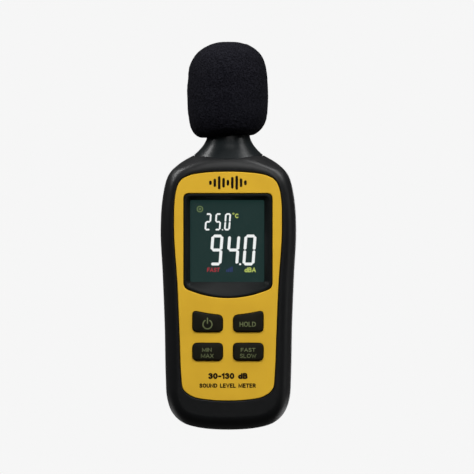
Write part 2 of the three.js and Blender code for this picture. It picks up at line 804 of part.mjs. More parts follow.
add("neck_collar", neckCollar(), "neck");
add("mic_tube", tube(MIC.bore, MIC.radius, MIC.bottom, MIC.top), "tube");
add("mic_grid", micGrid(), "tube");
add("mic_capsule", rodAlongZ(CAPSULE.radius, CAPSULE.bottom, CAPSULE.top, FACETS.tube), "steel");
add(
  "mic_grommet",
  tube(MIC.radius + GROMMET.gap, NECK.bore - GROMMET.gap, GROMMET.bottom, GROMMET.top),
  "rubber",
);
add("windscreen", windscreen(), "foam");

// The cells stand in series: the outer two with their nubs up, the middle one nub down.
const lowContact = BAY.bottom + CONTACT.inset;
const highContact = BAY.top - CONTACT.inset - CONTACT.thickness;
const lowSpring = lowContact + CONTACT.thickness + TOUCH;
const highSpring = highContact - TOUCH - SPRING.length;
for (let i = 0; i < 3; i += 1) {
  const x = (i - 1) * CELL.pitch;
  const nubUp = i !== 1;
  const spring = nubUp ? lowSpring : highSpring;
  const bottom = nubUp ? spring + SPRING.length + TOUCH : spring - TOUCH - CELL.length;
  add(`battery_${i + 1}`, cell(x, bottom, nubUp), "cell");
  add(`battery_spring_${i + 1}`, coil(x, spring), "steel");
}
const [left, middle, right] = [-CELL.pitch, 0, CELL.pitch];
add("contact_positive", contact(left, left, highContact).add(tail(left, highContact)), "steel");
add("contact_negative", contact(right, right, lowContact).add(tail(right, lowContact)), "steel");
add("contact_lower_pair", contact(left, middle, lowContact), "steel");
add("contact_upper_pair", contact(middle, right, highContact), "steel");
for (const route of LEADS) {
  add(route.name, lead(route), route.look);
}
add("battery_cover", batteryCover(), "casing");

// The tripod socket's mouth becomes the origin.
meter.position.set(0, -BACK, -TRIPOD.z);

export default meter;
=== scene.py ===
"""The looks of a hand-held sound level meter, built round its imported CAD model.

Shapes are written in millimetres from the foot of the casing (z = 0) and the plane where its
halves part (y = 0), with +X to the user's right and +Y towards the back. TO_ROW takes them
to the frame's own metres.
"""

import json
import math
from functools import partial

import bmesh
import bpy
import numpy as np
from mathutils import Matrix, Vector, noise

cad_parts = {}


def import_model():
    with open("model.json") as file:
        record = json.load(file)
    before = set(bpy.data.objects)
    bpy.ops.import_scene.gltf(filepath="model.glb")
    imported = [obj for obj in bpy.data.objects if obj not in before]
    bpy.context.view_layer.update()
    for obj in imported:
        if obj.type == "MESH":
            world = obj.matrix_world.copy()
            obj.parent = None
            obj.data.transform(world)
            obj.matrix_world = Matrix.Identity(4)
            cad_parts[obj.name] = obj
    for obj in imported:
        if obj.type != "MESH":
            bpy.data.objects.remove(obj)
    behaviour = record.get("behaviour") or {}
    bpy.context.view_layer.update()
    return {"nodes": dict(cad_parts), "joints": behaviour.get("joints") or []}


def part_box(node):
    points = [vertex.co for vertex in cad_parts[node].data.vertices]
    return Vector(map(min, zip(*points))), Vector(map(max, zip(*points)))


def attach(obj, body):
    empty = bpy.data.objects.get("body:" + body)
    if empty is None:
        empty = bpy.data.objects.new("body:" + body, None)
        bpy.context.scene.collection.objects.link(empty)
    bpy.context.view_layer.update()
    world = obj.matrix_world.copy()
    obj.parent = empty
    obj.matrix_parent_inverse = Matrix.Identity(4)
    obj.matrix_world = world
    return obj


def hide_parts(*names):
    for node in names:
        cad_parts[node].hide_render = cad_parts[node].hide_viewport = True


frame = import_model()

# ---------------- the frame's own sizes

MM = 0.001
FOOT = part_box("front_casing")[0].z
HALF_DEPTH = (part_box("rear_casing")[1].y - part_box("front_casing")[0].y) / 2
TO_ROW = (
    Matrix.Translation((0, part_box("rear_casing")[1].y - HALF_DEPTH, FOOT))
    @ Matrix.Scale(MM, 4)
)


def design_box(node):
    """Lowest and highest corner of a CAD node, in millimetres."""
    back_to_design = TO_ROW.inverted()
    low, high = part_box(node)
    return back_to_design @ low, back_to_design @ high


FRONT = design_box("front_casing")[0].y
BACK = -FRONT
TOP = design_box("battery_cover")[1].z


def clamped(share):
    """A share kept between 0 and 1."""
    return max(0.0, min(1.0, share))


# ---------------- outlines

# Right half of each outline as (x, z), from the foot to the top. They are closed splines.
SILHOUETTE = [
    (0, 0), (12.5, 0.95), (19.0, 3.1), (23.1, 7.1), (25.2, 13.0), (25.8, 22), (26.2, 42),
    (27.0, 63), (27.9, 82), (27.0, 96), (24.6, 105), (20.2, 109.8), (13.8, 113.6),
    (7, 115.3), (0, 115.8),
]
FACE_EDGE = [
    (0, 5.6), (11.5, 6.4), (16.5, 8.0), (19.2, 11.0), (20.2, 15), (20.4, 22), (20.8, 42),
    (21.6, 63), (22.8, 82), (22.2, 94), (20.7, 101.6), (16.6, 105.4), (10.6, 106.9),
    (5, 107.3), (0, 107.4),
]
PANEL_EDGE = [
    (0, 12.1), (8, 12.5), (14.5, 13.8), (18.35, 16.9), (19.15, 22), (19.9, 40), (20.75, 60),
    (22.15, 82), (21.4, 98), (19.3, 102.7), (15.4, 104.8), (8, 105.9), (0, 106.2),
]
WINDOW = {"half_width": 18.35, "top": 97.4, "side": 58.2, "bottom": 54.2, "corner": 2.4}
DISPLAY = {"centre": -0.35, "half_width": 15.25, "bottom": 60.9, "top": 94.6, "corner": 0.8}
UPPER_KEY = {"bottom": 40.5, "top_inner": 47.1, "top_outer": 49.15, "sag": 0.25}
LOWER_KEY = {"bottom": 28.7, "top_inner": 35.7, "top_outer": 35.7, "sag": 0}
KEYS = {
    "power": {"side": -1, **UPPER_KEY},
    "hold": {"side": 1, **UPPER_KEY},
    "min_max": {"side": -1, **LOWER_KEY},
    "fast_slow": {"side": 1, **LOWER_KEY},
}
KEY_CENTRE = 8.35
KEY_HALF_WIDTH = 6.1
KEY_CORNER = 1.9
KEY_HOLE_GAP = 0.25


def spline(points, per_span, closed=True):
    """Points along a centripetal Catmull-Rom spline, per_span to each span."""
    points = np.array(points, float)
    if closed:
        before, here, after, beyond = (np.roll(points, -k, axis=0) for k in (-1, 0, 1, 2))
    else:
        first = 2 * points[0] - points[1]
        last = 2 * points[-1] - points[-2]
        padded = np.vstack([first, points, last])
        before, here, after, beyond = (padded[k:len(padded) - 3 + k] for k in range(4))

    def knot_gap(a, b):
        return np.sqrt(np.linalg.norm(b - a, axis=1, keepdims=True))

    d0, d1, d2 = knot_gap(before, here), knot_gap(here, after), knot_gap(after, beyond)
    leave = ((here - before) / d0 - (after - before) / (d0 + d1) + (after - here) / d1) * d1
    arrive = ((after - here) / d1 - (beyond - here) / (d1 + d2) + (beyond - after) / d2) * d1
    t = (np.arange(per_span) / per_span)[None, :, None]
    curve = (
        (2 * t**3 - 3 * t**2 + 1) * here[:, None]
        + (t**3 - 2 * t**2 + t) * leave[:, None]
        + (3 * t**2 - 2 * t**3) * after[:, None]
        + (t**3 - t**2) * arrive[:, None]
    ).reshape(-1, 2)
    return curve if closed else np.vstack([curve, points[-1]])


def mirrored_spline(half, per_span=8):
    """A closed spline through a right half and its mirror image."""
    left = [(-x, z) for x, z in half[-2:0:-1]]
    return spline(half + left, per_span)


def grown(outline, distance):
    """An anticlockwise outline moved outwards."""
    along = np.roll(outline, -1, axis=0) - np.roll(outline, 1, axis=0)
    along /= np.linalg.norm(along, axis=1, keepdims=True)
    outward = np.stack([along[:, 1], -along[:, 0]], axis=1)
    return outline + outward * distance


def quadratic(start, control, end, count):
    """Points on a quadratic curve, without the last one."""
    t = (np.arange(count) / count)[:, None]
    start, control, end = np.array(start), np.array(control), np.array(end)
    return (1 - t) ** 2 * start + 2 * t * (1 - t) * control + t**2 * end


def rounded_polygon(corners, radius, corner_steps=8, edge_steps=6):
    """An outline with its corners rounded off, with the same count of points each time."""
    made = []
    for i, corner in enumerate(corners):
        at = Vector(corner)
        before = Vector(corners[i - 1])
        after = Vector(corners[(i + 1) % len(corners)])
        start = at + (before - at).normalized() * radius
        end = at + (after - at).normalized() * radius
        next_start = after + (at - after).normalized() * radius
        middle = (end + next_start) / 2
        made.append(quadratic(start, at, end, corner_steps))
        made.append(quadratic(end, middle, next_start, edge_steps))
    return np.vstack(made)


def screen_outline(half, bow_end, bottom, side, top, corner):
    """A screen with a bowed lower edge. Every call gives matching points."""
    inner, middle = half - corner, (side + top) / 2
    # Each span as (start, control point, count of points). It ends where the next one starts.
    spans = [
        ((-inner, bow_end), (0, 2 * bottom - bow_end), 48),
        ((inner, bow_end), (half, side), 10),
        ((half, side + corner), (half, middle), 24),
        ((half, top - corner), (half, top), 10),
        ((inner, top), (0, top), 48),
        ((-inner, top), (-half, top), 10),
        ((-half, top - corner), (-half, middle), 24),
        ((-half, side + corner), (-half, side), 10),
    ]
    return np.vstack([
        quadratic(start, control, following[0], count)
        for (start, control, count), following in zip(spans, spans[1:] + spans[:1])
    ])


def window_outline(grow):
    """The window in the face, with its bowed lower edge."""
    corner = WINDOW["corner"]
    side = WINDOW["side"] - grow
    return screen_outline(
        WINDOW["half_width"] + grow,
        side - 0.35 * corner,
        WINDOW["bottom"] - grow,
        side,
        WINDOW["top"] + grow,
        corner,
    )


def rectangle_outline(half, bottom, top, corner):
    return screen_outline(half, bottom, bottom, bottom, top, corner)


def display_outline(grow):
    """The display's opening, a little to the left of the middle."""
    around = rectangle_outline(
        DISPLAY["half_width"] + grow,
        DISPLAY["bottom"] - grow,
        DISPLAY["top"] + grow,
        DISPLAY["corner"],
    )
    return around + (DISPLAY["centre"], 0)


def lens_outline(grow):
    """The lens plate, from its place in the frame."""
    low, high = design_box("display_lens")
    return rectangle_outline(high.x + grow, low.z - grow, high.z + grow, 1)


def panel_outline(grow):
    return grown(mirrored_spline(PANEL_EDGE), grow)


def key_outline(key, grow):
    """One key seen from the front. The upper pair is taller on the outside, and its top edge
    sags like the window above it."""
    side = key["side"]
    inner = side * (KEY_CENTRE - KEY_HALF_WIDTH - grow)
    outer = side * (KEY_CENTRE + KEY_HALF_WIDTH + grow)
    corners = [
        (inner, key["bottom"] - grow),
        (outer, key["bottom"] - grow),
        (outer, key["top_outer"] + grow),
        (inner, key["top_inner"] + grow),
    ]
    if side < 0:
        corners.reverse()
    outline = rounded_polygon(corners, KEY_CORNER + grow)
    share = (outline[:, 0] - inner) / (outer - inner)
    upper = outline[:, 1] > (key["bottom"] + key["top_inner"]) / 2
    outline[:, 1] -= upper * key["sag"] * 4 * share * (1 - share)
    return outline


def circle_outline(x, z, radius, count=16):
    angles = np.arange(count) / count * 2 * math.pi
    return np.stack([x + radius * np.cos(angles), z + radius * np.sin(angles)], axis=1)


def rounding(face, radius, inward, steps=5):
    """(y, grow) stations round an edge at the front of a piece, from its face to its side.

    inward is -1 where the piece is inside the outline, and 1 round a hole in it."""
    angles = [math.pi / 2 * i / steps for i in range(steps + 1)]
    return [
        (face + radius * (1 - math.cos(a)), inward * radius * (1 - math.sin(a)))
        for a in angles
    ]


# ---------------- mesh kit


def at_depth(outline, y):
    """An outline in x and z as points at one depth."""
    return [(x, y, z) for x, z in outline]


def loft(rings, caps=True, ring_of_rings=False):
    """A mesh through rings that have equal counts of points."""
    count = len(rings[0])
    vertices = [point for ring in rings for point in ring]
    pairs = [(row, row + 1) for row in range(len(rings) - 1)]
    if ring_of_rings:
        pairs.append((len(rings) - 1, 0))
    faces = []
    for a, b in pairs:
        for i in range(count):
            j = (i + 1) % count
            faces.append((a * count + i, a * count + j, b * count + j, b * count + i))
    if caps and not ring_of_rings:
        faces.append(tuple(range(count)))
        faces.append(tuple(range((len(rings) - 1) * count, len(rings) * count)))
    mesh = bpy.data.meshes.new("loft")
    mesh.from_pydata([tuple(map(float, v)) for v in vertices], [], faces)
    return mended(mesh, lambda bm: bmesh.ops.remove_doubles(bm, verts=bm.verts, dist=1e-5))


def mended(mesh, mend):
    """A mesh after some repair, its faces pointing outwards."""
    bm = bmesh.new()
    bm.from_mesh(mesh)
    mend(bm)
    bmesh.ops.recalc_face_normals(bm, faces=bm.faces)
    bm.to_mesh(mesh)
    bm.free()
    return mesh


def prism(outline, stations):
    """A solid through (depth, grow) stations of one outline function."""
    return loft([at_depth(outline(grow), y) for y, grow in stations])


def block(xs, ys, zs):
    """A box between two corners."""
    ring = [(xs[0], zs[0]), (xs[1], zs[0]), (xs[1], zs[1]), (xs[0], zs[1])]
    return loft([at_depth(ring, ys[0]), at_depth(ring, ys[1])])


def turned(profile, axis="z", centre=(0, 0), segments=64):
    """A body turned about an axis, from (radius, distance along) points.

    A profile that starts and ends on the axis is capped there; any other closes on itself."""
    rings = []
    for radius, along in profile:
        ring = []
        for i in range(segments):
            angle = 2 * math.pi * i / segments
            point = [centre[0] + radius * math.cos(angle), centre[1] + radius * math.sin(angle)]
            point.insert("xyz".index(axis), along)
            ring.append(point)
        rings.append(ring)
    on_axis = profile[0][0] == 0 and profile[-1][0] == 0
    return loft(rings, caps=False, ring_of_rings=not on_axis)


def rod(radius, start, end, axis="y", centre=(0, 0), segments=48, edge=0.0):
    """A round bar, with its ends' edges taken off by edge."""
    profile = [(0, start)]
    profile += [(radius - edge, start), (radius, start + edge)] if edge else [(radius, start)]
    profile += [(radius, end - edge), (radius - edge, end)] if edge else [(radius, end)]
    return turned(profile + [(0, end)], axis, centre, segments)


def rods(radius, start, end, places):
    """The same bar, from front to back, at each of some places in x and z."""
    return joined([rod(radius, start, end, centre=at) for at in places])


def joined(meshes):
    """Separate meshes as one."""
    bm = bmesh.new()
    for mesh in meshes:
        bm.from_mesh(mesh)
    made = bpy.data.meshes.new("joined")
    bm.to_mesh(made)
    bm.free()
    return made


def placed(name, data):
    """A new object in the scene, for a mesh, a light or a camera."""
    made = bpy.data.objects.new(name, data)
    bpy.context.scene.collection.objects.link(made)
    return made


def boolean(mesh, tool, operation):
    """One mesh joined to, cut by or kept within another."""
    holder, cutter = placed("holder", mesh), placed("cutter", tool)
    modifier = holder.modifiers.new("boolean", "BOOLEAN")
    modifier.object = cutter
    modifier.operation = operation
    modifier.solver = "EXACT"
    seen = holder.evaluated_get(bpy.context.evaluated_depsgraph_get())
    made = bpy.data.meshes.new_from_object(seen)
    bpy.data.objects.remove(holder)
    bpy.data.objects.remove(cutter)
    return made


def cut(mesh, *tools):
    for tool in tools:
        mesh = boolean(mesh, tool, "DIFFERENCE")
    return mesh


def union(mesh, *others):
    for other in others:
        mesh = boolean(mesh, other, "UNION")
    return mesh


def within(mesh, other):
    return boolean(mesh, other, "INTERSECT")


def sealed(mesh):
    """The mesh without the hairline cracks and the faces of no area that booleans can leave."""
    def close(bm):
        cracks = [edge for edge in bm.edges if edge.is_boundary]
        bmesh.ops.holes_fill(bm, edges=cracks, sides=0)
        bmesh.ops.dissolve_degenerate(bm, edges=bm.edges, dist=1e-4)

    return mended(mesh, close)


def make_piece(name, mesh, look, body="casing", replaces=(), sharp=35, weighted=False):
    """A finished piece: in the frame's metres, smooth-shaded, riding on its CAD body.

    look is the name of a material, and edges sharper than sharp degrees stay sharp."""
    mesh.transform(TO_ROW)
    mesh.name = name
    mesh.materials.clear()
    mesh.materials.append(MATERIALS[look])
    mesh.shade_smooth()
    mesh.set_sharp_from_angle(angle=math.radians(sharp))
    piece = placed(name, mesh)
    if weighted:
        modifier = piece.modifiers.new("weighted normals", "WEIGHTED_NORMAL")
        modifier.keep_sharp = True
    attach(piece, body)
    if replaces:
        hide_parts(*replaces)
    return piece


def soften(piece, width, sharpest):
    """Takes the edges off a piece where its faces turn by more than sharpest degrees."""
    edge = piece.modifiers.new("softened edges", "BEVEL")
    edge.width = width * MM
    edge.segments = 2
    edge.limit_method = "ANGLE"
    edge.angle_limit = math.radians(sharpest)


# ---------------- materials


class Nodes:
    """A material's node tree, with short calls to add and link nodes."""

    def __init__(self, name):
        self.material = bpy.data.materials.new(name)
        self.material.use_nodes = True
        self.tree = self.material.node_tree
        self.shader = self.tree.nodes["Principled BSDF"]
        self.place = self.add("ShaderNodeTexCoord").outputs["Object"]

    def add(self, kind, links=None, values=None, **settings):
        node = self.tree.nodes.new(kind)
        for key, value in settings.items():
            setattr(node, key, value)
        for key, value in (values or {}).items():
            node.inputs[key].default_value = value
        for key, source in (links or {}).items():
            self.tree.links.new(source, node.inputs[key])
        return node

    def noise(self, width, detail=3.0, stretch=None):
        """Noise whose features are about width millimetres across."""
        place = self.place
        if stretch:
            place = self.add("ShaderNodeMapping", {"Vector": place}, {"Scale": stretch}).outputs[0]
        values = {"Scale": 1 / (width * MM), "Detail": detail}
        return self.add("ShaderNodeTexNoise", {"Vector": place}, values).outputs[0]

    def cells(self, width):
        """Cells about width millimetres across, darkest in their middles."""
        values = {"Scale": 1 / (width * MM)}
        return self.add("ShaderNodeTexVoronoi", {"Vector": self.place}, values).outputs[0]

    def ranged(self, source, low, high, start=0.35, end=0.65):
        """A source between start and end spread from low to high."""
        values = {"From Min": start, "From Max": end, "To Min": low, "To Max": high}
        return self.add("ShaderNodeMapRange", {"Value": source}, values).outputs[0]

    def blend(self, share, first, second):
        """A colour between two, by a share from 0 to 1."""
        mix = self.add("ShaderNodeMix", {"Factor": share}, data_type="RGBA")
        mix.inputs["A"].default_value = (*first, 1)
        mix.inputs["B"].default_value = (*second, 1)
        return mix.outputs["Result"]

    def relief(self, height, depth, under=None, strength=1.0):
        """Bump of a depth in millimetres, over another bump where one is given."""
        links = {"Height": height}
        if under:
            links["Normal"] = under
        values = {"Distance": depth * MM, "Strength": strength}
        return self.add("ShaderNodeBump", links, values).outputs[0]

    def drive(self, socket, source):
        self.tree.links.new(source, self.shader.inputs[socket])

    def set(self, **values):
        for key, value in values.items():
            self.shader.inputs[key.replace("_", " ")].default_value = value


def shade(colour, share):
    """A colour made lighter or darker."""
    return tuple(channel * share for channel in colour)


def moulded(name, colour, roughness, grain=0.3, depth=0.012, mottle=0.12, **sockets):
    """Moulded plastic or rubber: a fine spark-eroded grain and a broad, faint unevenness."""
    n = Nodes(name)
    broad = n.ranged(n.noise(9, 2), 0, 1)
    n.drive("Base Color", n.blend(broad, shade(colour, 1 - mottle), shade(colour, 1 + mottle)))
    fine = n.noise(grain, 2)
    uneven = n.ranged(fine, roughness * 0.9, min(1, roughness * 1.1))
    n.drive("Roughness", uneven)
    soft = n.relief(n.noise(4, 2), 0.02)
    n.drive("Normal", n.relief(fine, depth, under=soft))
    n.set(**sockets)
    return n.material


def metal(name, colour, roughness, stretch, brush=0.25, **sockets):
    """Metal with drawn lines. The lines are longest along the axis with the least stretch."""
    n = Nodes(name)
    lines = n.noise(brush, 4, stretch)
    n.drive("Base Color", n.blend(n.ranged(n.noise(3, 3), 0, 1), shade(colour, 0.86), colour))
    n.drive("Roughness", n.ranged(lines, roughness * 0.75, roughness * 1.3))
    n.drive("Normal", n.relief(lines, 0.008))
    n.set(Metallic=1.0, **sockets)
    return n.material


def foam_material():
    """Open-celled foam: small pits with soft walls between them, and painted shade that darkens the
    colour towards each pit's middle.
    """
    n = Nodes("open_cell_foam")
    pits = n.cells(0.62)
    coarse = n.cells(1.5)
    # painted shade: the base colour falls to near black in each pit's middle, where the hollows would be
    # shaded
    share = n.ranged(pits, 0, 1, 0.1, 0.75)
    n.drive("Base Color", n.blend(share, (0.0011, 0.0010, 0.0019), (0.0088, 0.0088, 0.0120)))
    n.drive("Roughness", n.ranged(n.noise(1.2), 0.86, 1.0))
    wide = n.relief(coarse, 0.20)
    n.drive("Normal", n.relief(pits, 0.22, under=wide))
    n.set(Specular_IOR_Level=0.06)
    return n.material


def glowing(name, colour, strength, base=0.2):
    """Part of the lit display. A faint raster stands for its dots."""
    n = Nodes(name)
    share = n.ranged(n.noise(0.4, 2), 0, 1)
    n.drive("Base Color", n.blend(share, shade(colour, base * 0.9), shade(colour, base)))
    n.drive("Emission Color", n.blend(share, shade(colour, 0.97), colour))
    n.drive("Roughness", n.ranged(share, 0.35, 0.45, 0, 1))
    n.set(Emission_Strength=strength)
    return n.material


def clear_material():
    """The lens: almost invisible but for its gloss."""
    n = Nodes("clear_acrylic")
    n.drive("Roughness", n.ranged(n.noise(6, 2), 0.02, 0.06))
    broad = n.ranged(n.noise(8, 2), 0, 1)
    n.drive("Base Color", n.blend(broad, (0.010, 0.012, 0.012), (0.014, 0.016, 0.016)))
    n.drive("Normal", n.relief(n.noise(12, 1), 0.004))
    n.set(Alpha=0.12, IOR=1.49)
    return n.material


def sleeve_material():
    """A cell's printed sleeve: dark blue, with a silver band below its upper shoulder."""
    n = Nodes("cell_sleeve")
    height = n.add("ShaderNodeSeparateXYZ", {"Vector": n.place}).outputs["Z"]
    low, high = design_box("battery_1")
    edge = (TO_ROW @ Vector((0, 0, low.z + (high.z - low.z) * 0.72))).z
    share = n.ranged(height, 0, 1, edge - 0.05 * MM, edge + 0.05 * MM)
    n.drive("Base Color", n.blend(share, (0.020, 0.060, 0.150), (0.55, 0.56, 0.58)))
    n.drive("Roughness", n.ranged(n.noise(2), 0.22, 0.34))
    n.drive("Normal", n.relief(n.noise(5, 2), 0.02))
    n.set(Metallic=0.35, Coat_Weight=0.4, Coat_Roughness=0.15)
    return n.material


def panel_material():
    """Warm yellow ABS with a fine satin grain, a little deeper in tone here and there."""
    n = Nodes("yellow_abs")
    broad = n.ranged(n.noise(14, 2), 0, 1)
    n.drive("Base Color", n.blend(broad, (0.580, 0.343, 0.0225), (0.620, 0.371, 0.0250)))
    fine = n.noise(0.45, 3)
    n.drive("Roughness", n.ranged(fine, 0.40, 0.56))
    n.drive("Normal", n.relief(fine, 0.014))
    n.set(Specular_IOR_Level=0.3)
    return n.material


MATERIALS = {
    "casing": moulded("black_abs", (0.0027, 0.0030, 0.0034), 0.42, Specular_IOR_Level=0.48),
    "panel": panel_material(),
    "bezel": moulded(
        "bezel_black", (0.0056, 0.0068, 0.0070), 0.42, grain=0.2, depth=0.004, Specular_IOR_Level=0.20
    ),
    "key": moulded(
        "key_rubber", (0.0075, 0.0070, 0.0042), 0.60, grain=0.35, depth=0.02, Specular_IOR_Level=0.16
    ),
    "neck": moulded(
        "neck_satin", (0.0060, 0.0076, 0.0082), 0.30, grain=0.25, depth=0.004, Specular_IOR_Level=0.20
    ),
    "ink": moulded(
        "black_ink", (0.0050, 0.0026, 0.0008), 0.60, grain=0.2, depth=0.006, Specular_IOR_Level=0.20
    ),
    "legend": moulded("legend_ink", (0.105, 0.125, 0.052), 0.6, grain=0.2, depth=0.006),
    "lens": clear_material(),
    "lcd": glowing("lcd_field", (0.0110, 0.0330, 0.0300), 1.02, base=0.10),
    "digit": glowing("lcd_white", (0.95, 0.98, 0.97), 1.0),
    "mark_green": glowing("lcd_yellow_green", (0.50, 0.60, 0.13), 1.0),
    "mark_dim": glowing("lcd_dim_green", (0.17, 0.24, 0.09), 1.0),
    "mark_red": glowing("lcd_red", (0.42, 0.035, 0.050), 0.9),
    "mark_blue": glowing("lcd_blue", (0.030, 0.045, 0.160), 0.9),
    "foam": foam_material(),
    "sleeve": sleeve_material(),
    "black_metal": metal("black_anodised", (0.030, 0.031, 0.033), 0.35, (1, 1, 0.08)),
    "screw": metal("blackened_steel", (0.10, 0.10, 0.105), 0.32, (1, 0.1, 1)),
    "steel": metal("nickel_plate", (0.62, 0.61, 0.58), 0.24, (0.1, 1, 1)),
    "brass": metal("brass", (0.72, 0.50, 0.20), 0.25, (1, 0.08, 1)),
    "rubber": moulded("soft_rubber", (0.0100, 0.0100, 0.0098), 0.7, depth=0.02),
    "white": moulded("white_plastic", (0.72, 0.72, 0.69), 0.5),
    "diffuser": moulded("diffuser", (0.85, 0.86, 0.82), 0.4),
    "zebra": moulded("zebra_rubber", (0.22, 0.24, 0.26), 0.7),
    "carbon": moulded("carbon_pill", (0.004, 0.004, 0.004), 0.8),
    "chip": moulded("epoxy_black", (0.008, 0.008, 0.008), 0.45, grain=0.15, depth=0.01),
    "board": moulded("solder_mask", (0.012, 0.10, 0.035), 0.35, grain=0.6, mottle=0.3),
    "red_lead": moulded("red_pvc", (0.40, 0.010, 0.010), 0.4),
    "black_lead": moulded("black_pvc", (0.006, 0.006, 0.006), 0.4),
}

# ---------------- casing

EDGE_HALF = 7  # half the depth of the casing where it is widest
HEIGHT = SILHOUETTE[-1][1]
HALF_WIDTH = max(x for x, _ in SILHOUETTE)
WALL = 2.2
FRONT_WALL = 2.4
INNER_FRONT = FRONT + FRONT_WALL
PARTING_GAP = 0.1
PARTING_CHAMFER = 0.3
TONGUE = {"thickness": 0.8, "depth": 1.4, "clearance": 0.15}
ROLL_STEPS = 14
FAR = 60
SKY = HEIGHT + FAR
WALL_OVERLAP = 0.3  # how far the board's posts run into the front wall
SKIN = 0.4  # how far pieces inside stay below the casing's outside


def on_both_sides(places):
    return [(side * x, z) for x, z in places for side in (-1, 1)]


CASE_SCREWS = on_both_sides([(16.5, 101.5), (21, 24)])
SCREW_BOSS = {"front_radius": 2.4, "back_radius": 3.3, "pilot": 1.25, "pilot_front": -9, "hole": 1.4}
SCREW_WELL = {"radius": 2.4, "floor": 6, "lip": 0.35}
BOARD_POSTS = on_both_sides([(19, 30), (19, 51.8)])
BOARD_POST = {"radius": 2, "back": -6.8, "pilot": 1.1}
NECK_SEAT = {"radius": 14.4, "floor": 109.5, "hole": 12.9, "bottom": 104}
SEAM = {"front": 111.6, "rise": 1.7}
SHOULDER = {
    "foot": 104, "inner": 8, "outer": 26, "slope": 0.55, "front_rise": 0.7,
    "blend": 0.04, "front_blend": 0.6, "fade": 5,
}
TRIPOD_Z = (design_box("tripod_insert")[0].z + design_box("tripod_insert")[1].z) / 2
SOCKET = {"radius": 5.8, "floor": 8.2, "lip": 0.4, "boss_radius": 8, "boss_front": 7.5}
COVER = {"half_width": 16.9, "bottom": 4.2, "top": TOP, "inner": 13.6, "gap": 0.3}
RAIL = {"width": 1.0, "front": 14.0, "back": 14.7, "bottom": 10, "top": 58.2, "gap": 0.25}
RAIL_RIB = {"inner": 17.2, "outer": 19, "front": 11.5}
GRIP = {"rows": 5, "pitch": 2, "first": 7, "half": 6, "radius": 0.75, "proud": 0.25}
BAY = {"half_width": 16.2, "bottom": 7.4, "top": 60.6, "floor": 2.2, "wall": 1.2}
TAIL_SLOT = {"half_width": 1.4, "height": 1}
CELL_PITCH = 10.7
PANEL_RECESS = {"floor": FRONT + 1.6, "gap": 0.3, "lip": 0.35}


def roll_rings(side):
    """The casing's outside from its face to its widest, as (outline, depth) pairs."""
    silhouette = mirrored_spline(SILHOUETTE)
    face = mirrored_spline(FACE_EDGE)
    rings = []
    for step in range(ROLL_STEPS + 1):
        angle = step / ROLL_STEPS * math.pi / 2
        share = math.sin(angle)
        depth = EDGE_HALF + (HALF_DEPTH / MM - EDGE_HALF) * math.cos(angle)
        rings.append((face * (1 - share) + silhouette * share, side * depth))
    return rings


def hollowed(outline, y):
    """A point ring of the outside, taken in to the inside of the wall."""
    middle = HEIGHT / 2
    across = (HALF_WIDTH - WALL) / HALF_WIDTH
    up = (middle - WALL) / middle
    inner = np.stack([outline[:, 0] * across, middle + (outline[:, 1] - middle) * up], axis=1)
    return at_depth(inner, y * INNER_FRONT / FRONT)


def casing_shell(side):
    """One half of the casing as a shell, its parting edge taken off for the seam. The front
    half has a tongue behind the seam and the back half a rebate for it, so no light gets in."""
    outer = roll_rings(side)
    silhouette = outer[-1][0]
    rings = [hollowed(outline, y) for outline, y in outer[::2]]
    inside = np.array([(x, z) for x, _, z in rings[-1]])
    slack = TONGUE["clearance"] if side > 0 else 0
    end = TONGUE["depth"] + slack
    stepped = grown(inside, TONGUE["thickness"] + slack)
    rings += [at_depth(inside, end), at_depth(stepped, end), at_depth(stepped, side * PARTING_GAP)]
    rings.append(at_depth(grown(silhouette, -PARTING_CHAMFER), side * PARTING_GAP))
    rings.append(at_depth(silhouette, side * (PARTING_GAP + PARTING_CHAMFER)))
    rings += [at_depth(outline, y) for outline, y in reversed(outer)]
    return loft(rings)


def pillow(shrink=0.0):
    """The casing's whole outside as one solid, moved inwards by shrink."""
    front = [(grown(outline, -shrink), y + shrink) for outline, y in roll_rings(-1)]
    back = [(grown(outline, -shrink), y - shrink) for outline, y in roll_rings(1)]
    return loft([at_depth(outline, y) for outline, y in front + back[::-1]])


def seam_height(x, y):
    """Height of the seam between casing and neck, lower at the front and back."""
    sideways = x**2 / (x**2 + y**2)
    return SEAM["front"] + SEAM["rise"] * sideways


def shouldered(mesh):
    """The shell's top, brought down to a cone that meets the neck. The two blend over a wide
    stretch at the front and back, and over a short one at the sides."""
    for vertex in mesh.vertices:
        x, y, z = vertex.co
        radius = math.hypot(x, y)
        if z > SHOULDER["foot"] and SHOULDER["inner"] < radius < SHOULDER["outer"]:
            frontal = y**2 / radius**2
            top = seam_height(x, y) + SHOULDER["front_rise"] * frontal
            cone = top - SHOULDER["slope"] * (radius - NECK_SEAT["radius"])
            over = z - cone
            risen = min(1, (z - SHOULDER["foot"]) / SHOULDER["fade"])
            blend = SHOULDER["blend"] + SHOULDER["front_blend"] * frontal * risen
            vertex.co.z = cone + over / 2 - math.sqrt(over**2 / 4 + blend)
    return mesh


def neck_seat():
    """The round seat at the top of the casing that the neck stands in."""
    return [
        rod(NECK_SEAT["radius"], NECK_SEAT["floor"], SKY, "z", segments=96),
        rod(NECK_SEAT["hole"], NECK_SEAT["bottom"], SKY, "z", segments=96),
    ]


def panel_recess():
    """The recess for the face plate, with a softened lip."""
    gap, lip = PANEL_RECESS["gap"], PANEL_RECESS["lip"]
    stations = [(-FAR, gap + lip)] + [(y, gap + grow) for y, grow in rounding(FRONT, lip, 1)]
    return prism(panel_outline, stations + [(PANEL_RECESS["floor"], gap)])


